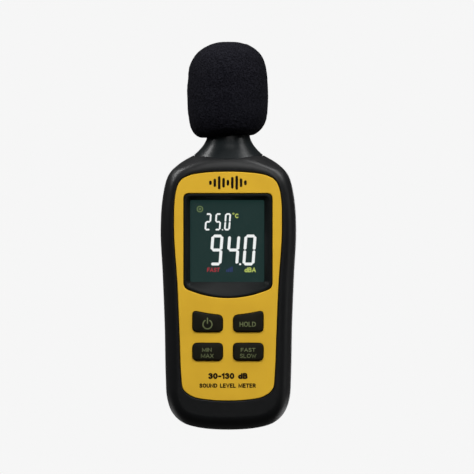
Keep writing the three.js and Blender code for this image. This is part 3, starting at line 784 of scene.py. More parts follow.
def front_casing():
    shell = shouldered(casing_shell(-1))
    bosses = rods(SCREW_BOSS["front_radius"], FRONT, TONGUE["depth"], CASE_SCREWS)
    posts = rods(BOARD_POST["radius"], INNER_FRONT - WALL_OVERLAP, BOARD_POST["back"], BOARD_POSTS)
    shell = union(shell, within(bosses, pillow(SKIN)), posts)
    pilots = joined([
        rods(SCREW_BOSS["pilot"], SCREW_BOSS["pilot_front"], BACK, CASE_SCREWS),
        rods(BOARD_POST["pilot"], INNER_FRONT + 1, BACK, BOARD_POSTS),
    ])
    shell = cut(shell, pilots, *neck_seat(), panel_recess())
    through = [prism(window_outline, [(-FAR, 0), (INNER_FRONT + 1, 0)])]
    for key in KEYS.values():
        ends = [(-FAR, KEY_HOLE_GAP), (INNER_FRONT + 1, KEY_HOLE_GAP)]
        through.append(prism(partial(key_outline, key), ends))
    shell = cut(shell, joined(through))
    make_piece(
        "front_shell", sealed(shell), "casing",
        replaces=["front_casing"], weighted=True,
    )


def bay_walls():
    """The battery bay before it is hollowed, with a rib on each side for the cover's groove."""
    tall = (BAY["bottom"] - BAY["wall"], BAY["top"] + BAY["wall"])
    back = COVER["inner"] + 0.4
    half = BAY["half_width"] + BAY["wall"]
    walls = block((-half, half), (BAY["floor"] - BAY["wall"], back), tall)
    inner, outer, front = RAIL_RIB["inner"], RAIL_RIB["outer"], RAIL_RIB["front"]
    ribs = [block(across, (front, back), tall) for across in ((inner, outer), (-outer, -inner))]
    return union(walls, joined(ribs))


def cover_opening():
    """Where the cover goes: its plate with a gap all round, and a groove for its rails."""
    half = COVER["half_width"] + COVER["gap"]
    opening = block(
        (-half, half), (COVER["inner"] - COVER["gap"], FAR), (-FAR, COVER["top"] + COVER["gap"])
    )
    reach = COVER["half_width"] + RAIL["width"] + RAIL["gap"]
    groove = block(
        (-reach, reach),
        (RAIL["front"] - RAIL["gap"], RAIL["back"] + RAIL["gap"]),
        (-FAR, RAIL["top"] + RAIL["gap"]),
    )
    return union(opening, groove)


def tail_slots():
    """Slots in the bay's floor for the contacts' solder tails."""
    depth = (BAY["floor"] - BAY["wall"] - 1, BAY["floor"] + 1)
    half, height = TAIL_SLOT["half_width"], TAIL_SLOT["height"]
    left, right = -CELL_PITCH, CELL_PITCH
    return joined([
        block((left - half, left + half), depth, (BAY["top"] - height, BAY["top"])),
        block((right - half, right + half), depth, (BAY["bottom"], BAY["bottom"] + height)),
    ])


def counterbore(shape, centre, segments):
    """A round well in the back, with a softened mouth."""
    radius, floor_y, lip = shape["radius"], shape["floor"], shape["lip"]
    wall = [(radius, floor_y), (radius, BACK - lip), (radius + lip, BACK), (radius + lip, FAR)]
    return turned([(0, floor_y), *wall, (0, FAR)], "y", centre, segments)


def rear_casing():
    shell = shouldered(casing_shell(1))
    boss_end = TONGUE["depth"] + TONGUE["clearance"]
    bosses = rods(SCREW_BOSS["back_radius"], boss_end, BACK, CASE_SCREWS)
    shell = union(shell, within(bay_walls(), pillow(SKIN)), within(bosses, pillow(SKIN)))
    socket_at = (0, TRIPOD_Z)
    shell = union(shell, rod(SOCKET["boss_radius"], SOCKET["boss_front"], BACK - 1, centre=socket_at))
    bay = block(
        (-BAY["half_width"], BAY["half_width"]), (BAY["floor"], FAR), (BAY["bottom"], BAY["top"])
    )
    socket = counterbore(SOCKET, socket_at, 96)
    shell = cut(shell, bay, cover_opening(), tail_slots(), socket)
    wells = joined([counterbore(SCREW_WELL, at, 48) for at in CASE_SCREWS])
    holes = rods(SCREW_BOSS["hole"], FRONT, BACK, CASE_SCREWS)
    shell = cut(shell, wells, holes, *neck_seat())
    make_piece(
        "rear_shell", sealed(shell), "casing",
        replaces=["rear_casing"], weighted=True,
    )


def thumb_groove(z):
    """One scallop of the cover's thumb grip: a bar with round ends."""
    half, radius = GRIP["half"], GRIP["radius"]
    end = half - radius
    quarter = [(radius * math.sin(a), end + radius * math.cos(a)) for a in np.linspace(0, math.pi / 2, 7)]
    quarter[0] = (0, half)
    profile = [(r, -x) for r, x in quarter] + quarter[::-1]
    return turned(profile, "x", (BACK + GRIP["proud"], z), 32)


def battery_cover():
    half = COVER["half_width"]
    plate = block((-half, half), (COVER["inner"], FAR), (COVER["bottom"], COVER["top"]))
    cover = within(plate, pillow())
    reach = half + RAIL["width"]
    rails = block((-reach, reach), (RAIL["front"], RAIL["back"]), (RAIL["bottom"], RAIL["top"]))
    cover = union(cover, rails)
    for row in range(GRIP["rows"]):
        cover = cut(cover, thumb_groove(COVER["top"] - GRIP["first"] - GRIP["pitch"] * row))
    made = make_piece(
        "sliding_cover", cover, "casing", "battery_cover", ["battery_cover"]
    )
    soften(made, 0.25, 50)


def cross_recess(x, z, face):
    """The cross in a screw's head, narrowing towards its foot."""
    arms = []
    half_length, half_width, depth, narrowed = 1.25, 0.28, 0.75, 0.55
    for half_x, half_z in ((half_length, half_width), (half_width, half_length)):
        rings = []
        for y, share in ((face + 0.5, 1), (face, 1), (face - depth, narrowed)):
            across, up = half_x * share, half_z * share
            corners = [(-across, -up), (across, -up), (across, up), (-across, up)]
            rings.append([(x + right, y, z + above) for right, above in corners])
        arms.append(loft(rings))
    return union(*arms)


# Half a screw's section, as (radius, depth), from its tip to the middle of its head.
SCREW_PROFILE = [
    (0, -8), (0.5, -8), (1.0, -7.2), (1.0, 6.2), (2.1, 6.2), (2.2, 6.35), (2.2, 7.1), (1.95, 7.5),
    (1.5, 7.72), (0.8, 7.8), (0, 7.8),
]


def case_screws():
    """Pan-headed screws at the bottom of their wells."""
    head = SCREW_PROFILE[-1][1]
    for number, (x, z) in enumerate(CASE_SCREWS, start=1):
        screw = cut(turned(SCREW_PROFILE, "y", (x, z), 48), cross_recess(x, z, head))
        node = f"case_screw_{number}"
        make_piece(f"cross_screw_{number}", screw, "screw", replaces=[node])


def tripod_insert():
    """The threaded bush: ridges of a quarter-inch thread down its bore."""
    low, high = design_box("tripod_insert")
    bore, outer, pitch, depth, flat, edge = 3.2, 5.5, 1.27, 0.5, 0.15, 0.2
    profile = [(bore + depth, low.y), (outer, low.y), (outer, high.y - edge), (outer - edge, high.y)]
    profile.append((bore + 0.6, high.y))
    crest = high.y - 0.6
    while crest > low.y + 0.8:
        profile += [(bore, crest + flat), (bore, crest - flat), (bore + depth, crest - pitch / 2)]
        crest -= pitch
    bush = turned(profile, "y", (0, TRIPOD_Z), 72)
    make_piece("threaded_bush", bush, "brass", replaces=["tripod_insert"])


# ---------------- face and display

PRINT_THICKNESS = 0.03
PANEL_FRONT = design_box("front_panel")[0].y
PANEL_EDGE_RADIUS = 0.28
KEY_HOLE_RADIUS = 0.12


def front_panel():
    """The yellow face plate, its edges and the edges of its holes softened."""
    low, high = design_box("front_panel")
    plate = prism(panel_outline, [(high.y, 0), *reversed(rounding(low.y, PANEL_EDGE_RADIUS, -1))])

    def hole(outline, gap, radius):
        stations = [(low.y - 1, gap + radius)]
        stations += [(y, gap + grow) for y, grow in rounding(low.y, radius, 1)]
        return prism(outline, stations + [(high.y + 1, gap)])

    holes = [hole(window_outline, 0, PANEL_EDGE_RADIUS)]
    for key in KEYS.values():
        holes.append(hole(partial(key_outline, key), KEY_HOLE_GAP, KEY_HOLE_RADIUS))
    make_piece(
        "face_plate", cut(plate, joined(holes)), "panel",
        replaces=["front_panel"], weighted=True,
    )


STROKE_STEP = 0.004  # how much prouder a stroke stands than the one that it crosses
WIDEST_MITRE = 1.8


def stroke(path, width, front, thickness=PRINT_THICKNESS, closed=False):
    """A flat line along a path in x and z, raised off a face. Open lines have round ends."""
    points = [Vector(point) for point in path]
    count = len(points)
    sections = []
    for i, point in enumerate(points):
        before = points[i - 1] if i or closed else None
        after = points[(i + 1) % count] if i < count - 1 or closed else None
        arriving = (point - before).normalized() if before else (after - point).normalized()
        leaving = (after - point).normalized() if after else arriving
        along = (arriving + leaving).normalized()
        mitre = min(WIDEST_MITRE, 1 / max(0.3, along.dot(leaving)))
        sections.append((point, along, width / 2 * mitre))
    if not closed:
        for end, sign in ((0, -1), (-1, 1)):
            point, along, half = sections[end]
            tips = [(point + along * sign * half * share, along, half * math.sqrt(1 - share**2))
                    for share in (0.5, 0.85, 0.98)]
            sections = tips[::-1] + sections if sign < 0 else sections + tips
    rings = []
    for point, along, half in sections:
        across = Vector((-along.y, along.x)) * half
        left, right = point + across, point - across
        rings.append([
            (left.x, front, left.y), (left.x, front - thickness, left.y),
            (right.x, front - thickness, right.y), (right.x, front, right.y),
        ])
    return loft(rings, caps=not closed, ring_of_rings=closed)


def sweep(x, z, half_width, half_height, start=0, end=360, steps=16):
    """Points on part of an oval, between two angles in degrees."""
    angles = [math.radians(start + (end - start) * i / steps) for i in range(steps + 1)]
    return [(x + half_width * math.cos(a), z + half_height * math.sin(a)) for a in angles]


def bowl(width, bottom, top):
    """The round side of a letter such as D, back to its stem."""
    half = (top - bottom) / 2
    start = max(0.0, width - half)
    return [(0, top), *sweep(start, bottom + half, width - start, half, 90, -90, 10), (0, bottom)]


# Letters one unit high, as (width, strokes). An oval's stroke is given as a tuple.
S_CURVE = [
    (0.54, 0.80), (0.42, 0.97), (0.15, 0.97), (0.03, 0.78), (0.13, 0.60), (0.43, 0.42),
    (0.55, 0.22), (0.42, 0.03), (0.14, 0.02), (0, 0.19),
]
GLYPHS = {
    " ": (0.30, []),
    "-": (0.34, [[(0, 0.42), (0.34, 0.42)]]),
    "0": (0.56, [tuple(sweep(0.28, 0.5, 0.28, 0.5, 0, 360, 20)[:-1])]),
    "1": (0.24, [[(0, 0.78), (0.24, 1), (0.24, 0)]]),
    "3": (0.54, [
        [(0.02, 0.86), *sweep(0.26, 0.76, 0.23, 0.24, 140, -80, 10)],
        [*sweep(0.26, 0.27, 0.28, 0.27, 88, -150, 12)],
    ]),
    "A": (0.74, [[(0, 0), (0.37, 1), (0.74, 0)], [(0.13, 0.33), (0.61, 0.33)]]),
    "B": (0.58, [[(0, 0), (0, 1)], bowl(0.52, 0.53, 1), bowl(0.58, 0, 0.53)]),
    "D": (0.66, [[(0, 0), (0, 1)], bowl(0.66, 0, 1)]),
    "E": (0.52, [[(0.52, 0), (0, 0), (0, 1), (0.52, 1)], [(0, 0.52), (0.46, 0.52)]]),
    "F": (0.50, [[(0, 0), (0, 1), (0.50, 1)], [(0, 0.50), (0.44, 0.50)]]),
    "H": (0.64, [[(0, 0), (0, 1)], [(0.64, 0), (0.64, 1)], [(0, 0.51), (0.64, 0.51)]]),
    "I": (0.02, [[(0.01, 0), (0.01, 1)]]),
    "L": (0.48, [[(0, 1), (0, 0), (0.48, 0)]]),
    "M": (0.86, [[(0, 0), (0, 1), (0.43, 0.12), (0.86, 1), (0.86, 0)]]),
    "N": (0.70, [[(0, 0), (0, 1), (0.70, 0), (0.70, 1)]]),
    "O": (0.74, [tuple(sweep(0.37, 0.5, 0.37, 0.5, 0, 360, 20)[:-1])]),
    "R": (0.60, [[(0, 0), (0, 1)], bowl(0.56, 0.47, 1), [(0.26, 0.47), (0.60, 0)]]),
    "S": (0.55, [[tuple(point) for point in spline(S_CURVE, 3, closed=False)]]),
    "T": (0.60, [[(0, 1), (0.60, 1)], [(0.30, 0), (0.30, 1)]]),
    "U": (0.62, [[(0, 1), *sweep(0.31, 0.3, 0.31, 0.3, 180, 360, 10), (0.62, 1)]]),
    "V": (0.68, [[(0, 1), (0.34, 0), (0.68, 1)]]),
    "W": (0.96, [[(0, 1), (0.24, 0), (0.48, 0.8), (0.72, 0), (0.96, 1)]]),
    "X": (0.64, [[(0, 0), (0.64, 1)], [(0, 1), (0.64, 0)]]),
    "d": (0.54, [[(0.54, 0), (0.54, 1)], tuple(sweep(0.27, 0.31, 0.27, 0.31, 0, 360, 16)[:-1])]),
}


def lettering(text, left, right, bottom, top, front, width, spacing=0.26, slant=0.0):
    """Printed lettering that fills a box in x and z, drawn with lines of one width. Each stroke
    of a letter stands a hair prouder than the last, so that none share a face."""
    total = sum(GLYPHS[letter][0] for letter in text) + spacing * (len(text) - 1)
    across = (right - left - width) / total
    up = top - bottom - width
    pen = 0.0
    made = []
    for letter in text:
        advance, strokes = GLYPHS[letter]
        for number, path in enumerate(strokes):
            line = [
                (left + width / 2 + (pen + x) * across + slant * z * up, bottom + width / 2 + z * up)
                for x, z in path
            ]
            thickness = PRINT_THICKNESS + STROKE_STEP * number
            made.append(stroke(line, width, front, thickness, closed=isinstance(path, tuple)))
        pen += advance + spacing
    return joined(made)


def raised(outlines, front, thickness=PRINT_THICKNESS):
    """Flat shapes, each raised off a face at depth front."""
    depths = (front, front - thickness)
    return joined([loft([at_depth(outline, y) for y in depths]) for outline in outlines])


def panel_prints():
    """The face plate's prints: a sound wave, the measuring range and what the meter is."""
    heights = [1.8, 3.4, 5.4, 4.0, 2.4, 4.8, 5.8, 3.6, 2.0]
    pitch, middle, width = 1.8, 101.7, 1.05
    wave = []
    for i, height in enumerate(heights):
        x = pitch * (i - (len(heights) - 1) / 2)
        reach = (height - width) / 2
        wave.append(stroke([(x, middle - reach), (x, middle + reach)], width, PANEL_FRONT))
    scale = lettering("30-130 dB", -8.1, 8.1, 21.0, 23.5, PANEL_FRONT, 0.72, 0.36)
    title = lettering("SOUND LEVEL METER", -11.75, 11.45, 17.4, 19.2, PANEL_FRONT, 0.44, 0.36)
    prints = {"sound_wave_print": joined(wave), "range_print": scale, "title_print": title}
    for name, mesh in prints.items():
        make_piece(name, mesh, "ink")


def display_bezel():
    """The black surround: a thin rim, sides that curve down to the display, and a flange."""
    low, high = design_box("display_bezel")
    gap, flange, edge, rim, lip, lip_drop, curve = 0.3, 1.2, 0.25, 0.75, 0.15, 0.12, 1.25
    step, funnel_floor, pocket_floor = INNER_FRONT + 0.3, FRONT + 2.5, FRONT + 3.0
    outside = [(flange, high.y), (flange, step), (-gap, step), (-gap, low.y + edge)]
    outside += [(grow - gap, y) for y, grow in reversed(rounding(low.y, edge, -1))]
    outside += [(-gap - rim, low.y), (-gap - rim - 0.08, low.y + 0.03)]
    rings = [at_depth(window_outline(grow), y) for grow, y in outside]
    mouth, throat = window_outline(-gap - rim - lip), display_outline(0.12)
    mouth_depth, throat_depth = low.y + lip_drop, funnel_floor - 0.08
    for share in np.linspace(0, 1, 8):
        depth = mouth_depth + (throat_depth - mouth_depth) * share**curve
        rings.append(at_depth(mouth * (1 - share) + throat * share, depth))
    rings += [at_depth(display_outline(0), y) for y in (funnel_floor, pocket_floor)]
    rings += [at_depth(lens_outline(0.3), y) for y in (pocket_floor, high.y)]
    bezel = loft(rings, caps=False, ring_of_rings=True)
    make_piece(
        "display_surround", bezel, "bezel", replaces=["display_bezel"], sharp=30
    )


def display_lens():
    low, high = design_box("display_lens")
    lens = prism(lens_outline, [(high.y, 0), *reversed(rounding(low.y, 0.15, -1, 3))])
    make_piece("lens_plate", lens, "lens", replaces=["display_lens"], weighted=True)


def lcd_glass():
    """The display's glass, with ground edges."""
    low, high = design_box("lcd_glass")
    edge, corner = 0.15, 0.6

    def outline(grow):
        return rectangle_outline(high.x + grow, low.z - grow, high.z + grow, corner)

    glass = prism(outline, [(high.y, -edge), (high.y - edge, 0), (low.y + edge, 0), (low.y, -edge)])
    make_piece("lcd_cell", glass, "lcd", replaces=["lcd_glass"])


LIT_FRONT = design_box("lcd_glass")[0].y

# Where each segment runs, as corners of a digit one wide and one high.
SEGMENTS = {
    "a": ((0, 1), (1, 1)),
    "b": ((1, 1), (1, 0.5)),
    "c": ((1, 0.5), (1, 0)),
    "d": ((0, 0), (1, 0)),
    "e": ((0, 0.5), (0, 0)),
    "f": ((0, 1), (0, 0.5)),
    "g": ((0, 0.5), (1, 0.5)),
}
LIT = {"0": "abcdef", "2": "abdeg", "4": "bcfg", "5": "acdfg", "9": "abcdfg"}
SLANT = 0.075
SEGMENT_GAP = 0.06  # shares of a bar's width
SEGMENT_POINT = 0.38

# Digits as (character, left edge), and the size that each row of them shares.
SMALL_DIGITS = {
    "row": [("2", -9.75), ("5", -5.65), ("0", -1.75)],
    "size": {"bottom": 82.1, "width": 2.5, "height": 7.1, "bar": 0.70},
}
LARGE_DIGITS = {
    "row": [("9", -7.75), ("4", -0.85), ("0", 5.85)],
    "size": {"bottom": 67.7, "width": 4.95, "height": 12.7, "bar": 1.18},
}


def segment(start, end, bar):
    """One bar of a digit, pointed at both ends so that neighbours meet on a mitre."""
    start, end = Vector(start), Vector(end)
    along = (end - start).normalized()
    across = Vector((-along.y, along.x)) * bar / 2
    tip, shoulder = along * SEGMENT_GAP * bar, along * (SEGMENT_GAP + SEGMENT_POINT) * bar
    return [
        start + tip, start + shoulder - across, end - shoulder - across,
        end - tip, end - shoulder + across, start + shoulder + across,
    ]


def digit(character, left, bottom, width, height, bar):
    """The lit bars of a seven-segment digit that leans to the right."""
    outlines = []
    for name in LIT[character]:
        ends = [(x * (width - bar) + bar / 2, z * (height - bar) + bar / 2) for x, z in SEGMENTS[name]]
        outlines.append([(left + x + z * SLANT, bottom + z) for x, z in segment(*ends, bar)])
    return outlines


def display_marks():
    """What the display shows: a level, a temperature and their small marks."""
    digits = [circle_outline(4.95, 68.2, 0.42), circle_outline(-2.3, 82.35, 0.27)]
    for digits_shown in (SMALL_DIGITS, LARGE_DIGITS):
        for character, left in digits_shown["row"]:
            digits += digit(character, left, **digits_shown["size"])

    def ring(x, z, radius, width):
        return stroke(sweep(x, z, radius, radius)[:-1], width, LIT_FRONT, closed=True)

    celsius = joined([
        ring(2.2, 89.0, 0.30, 0.22),
        stroke(sweep(3.65, 88.1, 0.60, 0.72, 50, 310), 0.40, LIT_FRONT),
    ])
    clock = joined([ring(-11.6, 90.9, 1.15, 0.36), ring(-11.6, 90.9, 0.35, 0.30)])
    steps = [
        stroke([(x, 65.2), (x, 65.8 + 0.4 * i)], 0.5, LIT_FRONT)
        for i, x in enumerate((-0.5, 0.2, 0.9, 1.6))
    ]
    fast = lettering("FAST", -8.7, -3.5, 65.0, 66.8, LIT_FRONT, 0.36, 0.30, 0.1)
    unit = lettering("dBA", 6.7, 11.4, 64.9, 66.9, LIT_FRONT, 0.42, 0.30, 0.1)
    marks = {
        "lcd_digits": (raised(digits, LIT_FRONT), "digit"),
        "lcd_celsius": (celsius, "mark_green"),
        "lcd_clock": (clock, "mark_dim"),
        "lcd_fast": (fast, "mark_red"),
        "lcd_steps": (joined(steps), "mark_blue"),
        "lcd_unit": (unit, "mark_green"),
    }
    for name, (mesh, look) in marks.items():
        make_piece(name, mesh, look)


# ---------------- keys

KEY_FRONT = FRONT - 1.0
KEY_EDGE = 0.6
KEY_DOME = 0.22
KEY_LIP = {"width": 0.9, "front": INNER_FRONT + 0.3, "thickness": 0.8}
STEM_RADIUS = 3
LEGEND_LIFT = 0.005


def key_middle(key):
    """The middle of a key's stem."""
    return key["side"] * KEY_CENTRE, (key["bottom"] + key["top_inner"]) / 2


def dome_depth(share):
    """Depth of a key's top, for how far out of its middle a point is, from 0 to 1."""
    return KEY_FRONT - KEY_DOME * (1 - share**2)


def key_cap(name, key):
    """A rubber key: stem, lip, straight sides, a round edge and a gently domed top."""
    x, z = key_middle(key)

    def stem(y):
        around = key_outline(key, 0) - (x, z)
        around /= np.linalg.norm(around, axis=1, keepdims=True)
        return at_depth((x, z) + around * STEM_RADIUS, y)

    stem_end = design_box(f"key_{name}")[1].y
    lip, lip_front = KEY_LIP["width"], KEY_LIP["front"]
    lip_back = lip_front + KEY_LIP["thickness"]
    stations = [(lip_back, lip), (lip_front, lip), (lip_front, 0), (KEY_FRONT + KEY_EDGE + 0.4, 0)]
    stations += reversed(rounding(KEY_FRONT, KEY_EDGE, -1, 7))
    rings = [stem(stem_end), stem(lip_back)]
    rings += [at_depth(key_outline(key, grow), y) for y, grow in stations]
    edge = key_outline(key, -KEY_EDGE)
    middle = edge.mean(axis=0)
    for share in (0.9, 0.75, 0.6, 0.45, 0.3, 0.15):
        rings.append(at_depth(middle + (edge - middle) * share, dome_depth(share)))
    cap = loft(rings)
    make_piece(f"rubber_{name}_key", cap, "key", f"{name}_key", [f"key_{name}"], sharp=40)


def on_dome(mesh, key):
    """A flat legend laid on a key's domed top."""
    outline = key_outline(key, -KEY_EDGE)
    middle = outline.mean(axis=0)
    half = np.abs(outline - middle).max(axis=0)
    for vertex in mesh.vertices:
        away = np.abs((np.array([vertex.co.x, vertex.co.z]) - middle) / half).max()
        vertex.co.y += dome_depth(min(1.0, away)) - KEY_FRONT - LEGEND_LIFT
    return mesh


def key_legends():
    """Each key's legend, printed on its top and moving with it."""
    thin, bold, x = 0.27, 0.52, -8.4
    upper, lower = (32.2, 33.8, KEY_FRONT, thin), (29.7, 31.4, KEY_FRONT, thin)
    legends = {
        "power": joined([
            stroke(sweep(x, 43.5, 1.85, 1.85, 122, 418, 32), bold, KEY_FRONT),
            stroke([(x, 43.9), (x, 46.0)], bold, KEY_FRONT, PRINT_THICKNESS + STROKE_STEP),
        ]),
        "hold": lettering("HOLD", 4.8, 11.5, 42.5, 44.6, KEY_FRONT, 0.34, 0.30),
        "min_max": joined([
            lettering("MIN", -10.6, -6.7, *upper), lettering("MAX", -11.1, -5.9, *lower),
        ]),
        "fast_slow": joined([
            lettering("FAST", 5.3, 11.3, *upper), lettering("SLOW", 4.9, 11.7, *lower),
        ]),
    }
    for name, mesh in legends.items():
        make_piece(f"{name}_legend", on_dome(mesh, KEYS[name]), "legend", f"{name}_key")


# ---------------- microphone

# Half sections of the neck and of the foam, as (radius, height).
FLARE = [(14.2, 112.8), (12.7, 114.3), (11.0, 116.4), (9.7, 118.5), (9.0, 120.2), (8.75, 121.6)]
NECK_FOOT = [(12.6, 109.8), (13.9, 109.8), (13.9, 112.45), (14.1, 112.6)]
FOAM_SKIN = [
    (9.6, 120.5), (11.4, 120.8), (13.6, 122.3), (15.3, 125.5), (16.2, 129.5), (16.65, 136.5),
    (16.4, 144), (15.6, 149.9), (13.2, 154.9), (8.8, 158.2), (4.4, 159.7), (0, 160),
]
FOAM_RECESS = [(7.0, 122.6), (9.0, 122.6), (9.15, 122.4), (9.15, 121.0), (9.3, 120.6)]
NECK_TOP = 121.7
NECK_BORE = 7.6
SEAM_FADE = 117.5  # the height where the neck no longer follows its seam with the casing
FOAM_BORE = 6.7
FOAM_BORE_TOP = 145.8
FOAM_ROUGHNESS = 0.22
FOOT_LIFT = {"from": 131, "fade": 9, "reach": 11, "most": 1.25}
FOAM_TILT = {"most": 0.35, "slope": 0.07, "upright_at": 155}
MIC_BORE = 5.6
MIC_RADIUS = design_box("mic_tube")[1].x


def neck_collar():
    """The flared neck, with its spigot in the casing's seat."""
    low, _ = design_box("neck_collar")
    flare = [tuple(point) for point in spline(FLARE, 8, closed=False)]
    profile = [(NECK_BORE, low.z), (NECK_FOOT[0][0], low.z)] + NECK_FOOT + flare[:-1]
    profile += [(8.7, NECK_TOP - 0.12), (8.5, NECK_TOP), (NECK_BORE, NECK_TOP)]
    neck = turned(profile, segments=160)
    flare_foot = FLARE[0][1]
    for vertex in neck.vertices:
        x, y, z = vertex.co
        if z > 109:
            share = clamped((SEAM_FADE - z) / (SEAM_FADE - flare_foot))
            vertex.co.z += (seam_height(x, y) - flare_foot) * share
    make_piece("flared_neck", neck, "neck", replaces=["neck_collar"])


def mic_tube():
    """The tube that holds the capsule, with a groove near its top."""
    low, high = design_box("mic_tube")
    # Its outside below the top, as (depth in from the radius, distance down).
    outside = [(0, 4.2), (0.15, 4.05), (0.15, 3.75), (0, 3.6), (0, 0.2), (0.2, 0)]
    profile = [(MIC_BORE, low.z), (MIC_RADIUS, low.z)]
    profile += [(MIC_RADIUS - inwards, high.z - down) for inwards, down in outside]
    profile.append((MIC_BORE, high.z))
    tube = turned(profile, segments=96)
    make_piece("microphone_tube", tube, "black_metal", replaces=["mic_tube"])


def mic_grid():
    """The perforated cap over the capsule: one hole in the middle and a ring of six."""
    low, high = design_box("mic_grid")
    edge, hole, ring = 0.5, 1.1, 3.6
    profile = [(0, low.z), (MIC_RADIUS, low.z)]
    profile += [
        (MIC_RADIUS - edge * (1 - math.cos(a)), high.z - edge * (1 - math.sin(a)))
        for a in np.linspace(0, math.pi / 2, 6)
    ]
    grid = turned(profile + [(0, high.z)], segments=96)
    centres = [(0, 0), *sweep(0, 0, ring, ring, 0, 360, 6)[:-1]]
    holes = [rod(hole, low.z - 1, high.z + 1, "z", centre, 32) for centre in centres]
    make_piece(
        "perforated_cap", cut(grid, joined(holes)), "black_metal",
        replaces=["mic_grid"], weighted=True,
    )


def foam_lean(at):
    """How far a point of the foam sits from where a true ball would have it: its foot rides up
    at the front and right, and its body leans to the left under a crown that leans right."""
    low = clamped((FOOT_LIFT["from"] - at.z) / FOOT_LIFT["fade"])
    frontwards, rightwards, leftwards = (
        max(0.0, distance / FOOT_LIFT["reach"]) for distance in (-at.y, at.x, -at.x)
    )
    lift = min(FOOT_LIFT["most"], frontwards + 1.1 * rightwards) - 0.25 * leftwards
    most = FOAM_TILT["most"]
    sideways = max(-most, min(most, FOAM_TILT["slope"] * (at.z - FOAM_TILT["upright_at"])))
    return Vector((sideways, 0, low * lift))


def windscreen():
    """The foam ball: a turned body roughened by its open cells, with a recess for the neck."""
    skin = [(max(0.0, radius), z) for radius, z in spline(FOAM_SKIN, 12, closed=False)]
    skin[-1] = (0, skin[-1][1])
    profile = [(0, FOAM_BORE_TOP), (FOAM_BORE - 0.4, FOAM_BORE_TOP), (FOAM_BORE, FOAM_BORE_TOP - 0.4)]
    profile += [(FOAM_BORE, z) for z in np.linspace(FOAM_BORE_TOP - 2, 124, 12)]
    profile += [(FOAM_BORE, 122.9)] + FOAM_RECESS + skin
    mesh = turned(profile, segments=288)
    places = [vertex.co.copy() for vertex in mesh.vertices]
    outwards = [normal.vector.copy() for normal in mesh.vertex_normals]
    moved = []
    for at, outward in zip(places, outwards):
        radius = math.hypot(at.x, at.y)
        if radius > FOAM_BORE + 0.1:
            in_recess = at.z < 123 and radius < 9.2
            height = noise.voronoi(at / 0.9)[0][0] - 0.45 + noise.noise(at / 5.5)
            at = at + outward * (0 if in_recess else FOAM_ROUGHNESS * height) + foam_lean(at)
        moved.extend(at)
    mesh.vertices.foreach_set("co", moved)
    mesh.update()
    piece = make_piece("foam_windscreen", mesh, "foam", "windscreen", ["windscreen"], sharp=70)


# ---------------- batteries

CELL = {"radius": 5.25, "nub": 1.9, "nub_length": 0.9, "seat": 4.0}
SPRING = {"gauge": 0.4, "turns": 3, "radius": 3.2, "narrowing": 0.25}


def cell_profiles(length):
    """Sections of a cell's sleeve and of its two ends, as (radius, height above its base)."""
    radius, nub, seat = CELL["radius"], CELL["nub"], CELL["seat"]
    shoulder = length - CELL["nub_length"]
    sleeve = [
        (0, 0.25), (3.9, 0.25), (seat, 0.05), (4.7, 0.0), (radius, 0.5), (radius, shoulder - 0.5),
        (4.75, shoulder), (4.1, shoulder), (seat, shoulder - 0.2), (0, shoulder - 0.2),
    ]
    top = [
        (0, shoulder - 0.15), (3.9, shoulder - 0.15), (3.9, shoulder - 0.05), (2.3, shoulder + 0.02),
        (nub, shoulder + 0.2), (nub, length - 0.2), (nub - 0.25, length), (0, length),
    ]
    base = [(0, 0.2), (3.85, 0.2), (3.85, 0.12), (0, 0.08)]
    return sleeve, top, base


def cells():
    """Three AAA cells. The middle one stands on its nub."""
    for number in (1, 2, 3):
        low, high = design_box(f"battery_{number}")
        centre = ((low.x + high.x) / 2, (low.y + high.y) / 2)
        sleeve, top, base = (
            [(radius, high.z - z if number == 2 else low.z + z) for radius, z in profile]
            for profile in cell_profiles(high.z - low.z)
        )
        body = turned(sleeve, centre=centre, segments=72)
        ends = joined([turned(profile, centre=centre, segments=48) for profile in (top, base)])
        make_piece(f"cell_{number}", body, "sleeve", replaces=[f"battery_{number}"])
        make_piece(f"cell_{number}_terminals", ends, "steel")


def springs():
    """Conical contact springs, wound by a helix."""
    gauge, turns = SPRING["gauge"], SPRING["turns"]
    up = Vector((0, 0, 1))
    for number in (1, 2, 3):
        node = f"battery_spring_{number}"
        low, high = design_box(node)
        battery_low, battery_high = design_box(f"battery_{number}")
        middle = (battery_low + battery_high) / 2
        rings = []
        for t in np.linspace(0, 1, turns * 40 + 1):
            angle = 2 * math.pi * turns * t
            radius = SPRING["radius"] * (1 - SPRING["narrowing"] * t)
            outward = Vector((math.cos(angle), math.sin(angle), 0))
            height = low.z + gauge + (high.z - low.z - 2 * gauge) * t
            wire = Vector((middle.x, middle.y, height)) + outward * radius
            rings.append([
                wire + gauge * (outward * math.cos(a) + up * math.sin(a))
                for a in np.arange(10) / 10 * 2 * math.pi
            ])
        make_piece(f"coil_{number}", loft(rings), "steel", replaces=[node], sharp=60)


# ---------------- CAD nodes that stay

# The CAD nodes that stay, by the material that each gets.
KEPT = {
    "diffuser": ["backlight", "backlight_led"],
    "white": ["lcd_frame"],
    "zebra": ["zebra_strip"],
    "rubber": ["keypad_mat", "mic_grommet"],
    "board": ["main_board"],
    "chip": ["processor_chip", "amplifier_chip", "thermistor"],
    "steel": [
        "crystal", "mic_capsule", "contact_positive", "contact_negative", "contact_lower_pair",
        "contact_upper_pair", *(f"board_screw_{number}" for number in (1, 2, 3, 4)),
    ],
    "carbon": [f"contact_pill_{name}" for name in KEYS],
    "black_lead": ["mic_lead", "battery_lead_black"],
    "red_lead": ["battery_lead_red"],
}


def kept_nodes():
    """Pieces inside the casing keep their CAD shape, with softened edges and real materials."""
    for look, names in KEPT.items():
        for name in names:
            node = frame["nodes"][name]
            node.data.materials.clear()
            node.data.materials.append(MATERIALS[look])
            soften(node, 0.08, 40)


# ---------------- stage

